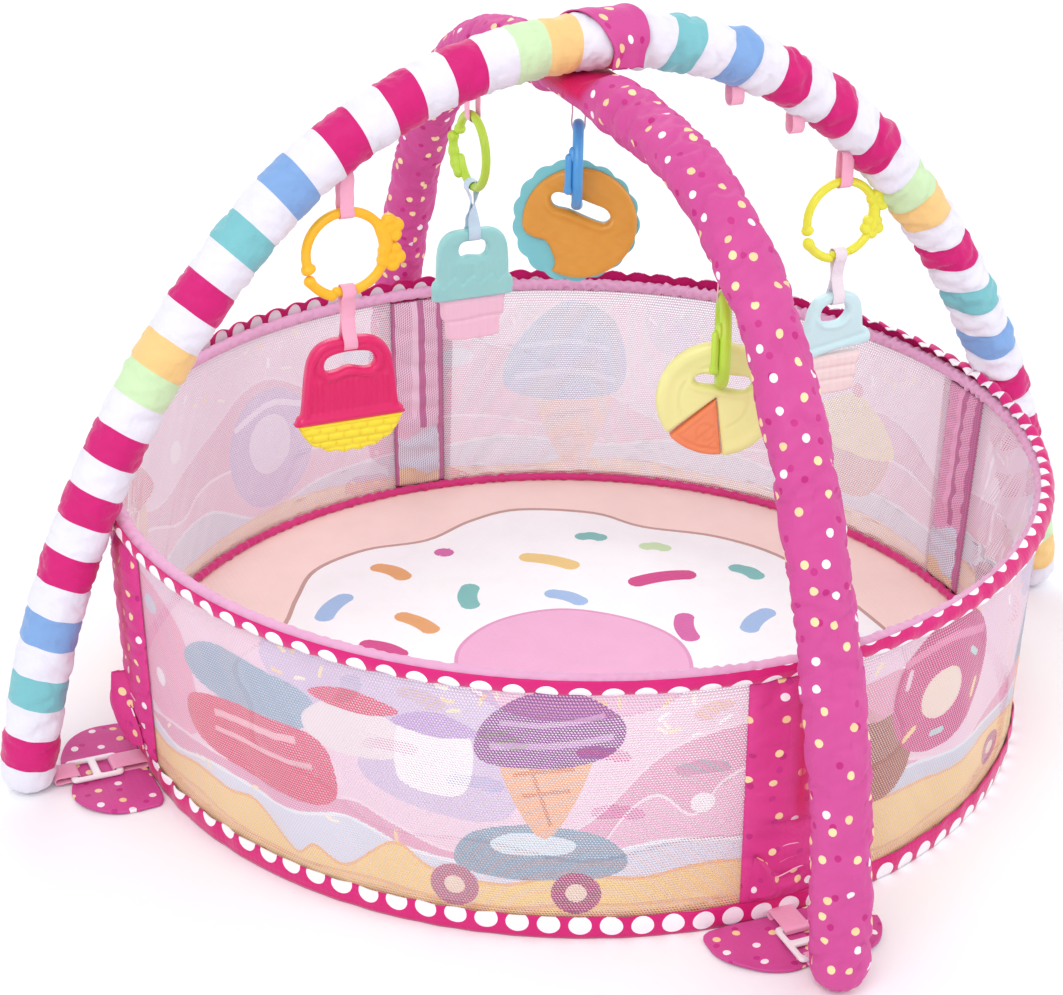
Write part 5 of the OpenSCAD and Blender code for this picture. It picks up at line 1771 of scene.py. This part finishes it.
def make_cone(m):
    at = TOY_PLACES["cone"]
    world = upright(at, 0)
    ring = (m["lemon"], "lemon_ring_body", "lemon_toy")
    ring_pieces(at, 0, *ring,
                ("lemon_ring_wire", (-76, 201), 0, 4.2, 4.2, ((194, 0.45, 6), (-5, 0.4, 20)), 0,
                 "lemon_ring"),
                ("lemon_ring_clip", (203, 262), 3.6, 4.4, 4.4, ((213, 0.3, 6),), -0.5),
                ("lemon_ring_base", (255, 290), 0, 4.0, 4.0, (), 0))
    flower_pieces("lemon_flower", at, 12.2, *ring, ((40, 14, 24), (35, -12, -20)))
    handle_ribbon("cone_ribbon_band", at, 0, 0, at[2] - RING_LINE, 367, m["pale_ribbon"], "cone_toy",
                  "pale_ribbon", "cone_ribbon")
    top, low = 371.5, 305.5
    outline = resample(blob((0, top), (16, top - 1.5), (26, top - 9), (30, top - 24), (32, top - 38),
                            (38, top - 42), (41, top - 49), (38, top - 56), (26, top - 58), (0, top - 60),
                            (-24, low + 1), (-38, low), (-41, low + 7), (-38, low + 16), (-33, top - 38),
                            (-28, top - 16), (-19, top - 4), steps=7), 1.6)
    hole = resample(blob((-17, 350), (-14, 358), (-6, 361), (4, 361), (12, 357), (13, 349), (6, 342),
                         (-4, 341), (-13, 343)), 1.4)

    def front(x, z, reach):
        slope = low + 14 + 0.16 * x
        hole_reach = edge_distance(np.column_stack([x, z]), [hole])
        flange = 1.7 * ease((slope - z) / 2.2)
        lip = 1.2 * groove(hole_reach - 3.5, 2.0) * ease((350 - z) / 5)
        raised = flange + lip - 0.8 * groove(z - slope - 2, 1.4)
        return rounded(6.0, 3.4, reach) + raised * ease(reach / 2.5)
    plate_piece("cone_body", outline, [hole], front, 1.8, m["pale_blue"], world, "cone_toy", "pale_blue_toy",
                "cone_top")
    low += 1.5
    half = [(0, low + 1), (29.5, low + 1), (30.5, low - 5), (28.5, low - 12), (27.5, low - 14),
            (27.5, low - 24), (25.5, low - 27), (25, low - 36), (21, low - 40), (0, low - 41)]
    outline = mirrored(half)

    def cup(x, z, reach):
        bands = groove(z - (low - 13), 1.5) + groove(z - (low - 26), 1.5) + groove(z - (low - 1), 1.2)
        return rounded(5.8, 3.0, reach) - 1.3 * bands * ease(reach / 2) - 0.5 * groove((x % 8) - 4, 0.7)
    plate_piece("cone_bands", outline, [], cup, 1.7, m["pale_pink"], world, "cone_toy", "pale_pink_toy",
                "cone_cup")


# ---------- build ----------

def finish_cad_piece(node, material):
    """A CAD node that shows as it is gets its own finish."""
    piece = next(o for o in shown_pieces() if o.name == node)
    piece.data.materials.clear()
    piece.data.materials.append(material)


TOY_COLOURS = {"orange": ("FFC319", "FDB911"), "magenta": ("E4186A", "DB1262"),
               "yellow": ("FFEB3A", "FBE32C"), "lime": ("BFDF45", "B2D538"), "teal": ("A2DEDA", "98D8D5"),
               "pink": ("FBCFE0", "F9C8DC"), "blue": ("4FA3DC", "4592D2"),
               "dough_teal": ("7CCAD0", "70BFC9"), "brown": ("DE9B33", "D18C2A"),
               "pale_yellow": ("EFEBA0", "E7E192"), "coral": ("F08A58", "E87F4E"),
               "lemon": ("F0EC42", "E6E238"), "pale_blue": ("D3EFF2", "CBEAEF"),
               "pale_pink": ("FCE6E5", "FADEDD")}
make_camera()
make_studio()
print_cloth = tinted_cloth("mat_print", 0.66)
pink_base = plain_cloth("mat_underside", "E9A9C6")
satin = plain_cloth("magenta_satin", "E03E88", 0.42, "C81C6E")
dotted = dotted_cloth("dotted_satin")
# The dotted satin in a more saturated pink, painted shade for the upright posts and their tie straps.
post_dotted_shaded = dotted_cloth("post_satin_shaded", "DC4190", "D23083")
net = mesh_cloth("printed_net")
rim_cloth = plain_cloth("rim_sleeve", "E6AFD0", 0.55, "DFA0C6")
# 9C5C7E: the holes of the posts' padded net show this flat mauve, painted shade of the post behind the net.
padded_net = mesh_cloth("padded_net", shaded_backing="9C5C7E")
thread = plain_cloth("stitching", "F7BBD3", 0.5)
trim_spots = spotted_cloth("trim_spots", 26 * MM, [(12 * MM, 0.0, 12 * MM)], (9.6 * MM, 9 * MM))
rim_spots = spotted_cloth("rim_spots", 25.6 * MM, [(6.5 * MM, 0.0, 7 * MM), (31 * MM, 0.5, 7 * MM)],
                          (8.8 * MM, 8 * MM))
striped = tinted_cloth("striped_satin", 0.6)
plastic = moulded("white_plastic", "F6F4F4", "EFEDEE", 0.3)
webbing = plain_cloth("pink_webbing", "F0A9C6", 0.7, "EC9DBE")
ribbon = plain_cloth("pink_ribbon", "F6B4CC", 0.5, "F2A8C3")
toys = {name: moulded(name + "_toy", *codes) for name, codes in TOY_COLOURS.items()}
toys["pink_ribbon"] = ribbon
toys["blue_ribbon"] = plain_cloth("blue_ribbon", "CFE4F2", 0.45, "C2DCEE")
toys["pale_ribbon"] = plain_cloth("pale_ribbon", "F3E9F0", 0.45, "EDE0EA")
make_mat(print_cloth, pink_base)
make_piping(satin)
make_bottom_trim(trim_spots)
make_wall(net)
make_posts(post_dotted_shaded, padded_net, thread)
make_rim(rim_cloth, rim_spots)
make_striped(striped)
make_dotted(dotted)
make_crossing(dotted)
make_feet(dotted, webbing, plastic)
make_arch_loops(ribbon)
make_muffin(toys)
make_cupcake(toys)
make_doughnut(toys)
make_wedge(toys)
make_cone(toys)
rod = moulded("fibreglass", "3A3D42", "2E3136", 0.4)
steel = moulded("steel", "B9BCC0", "A9ACB2", 0.28)
for node in ("hoop_wire", "striped_rod_left", "striped_rod_right", "dotted_rod_front", "dotted_rod_back"):
    finish_cad_piece(node, rod)
for node in ("striped_ferrule", "dotted_ferrule"):
    finish_cad_piece(node, steel)
finish_cad_piece("rod_caps", plastic)
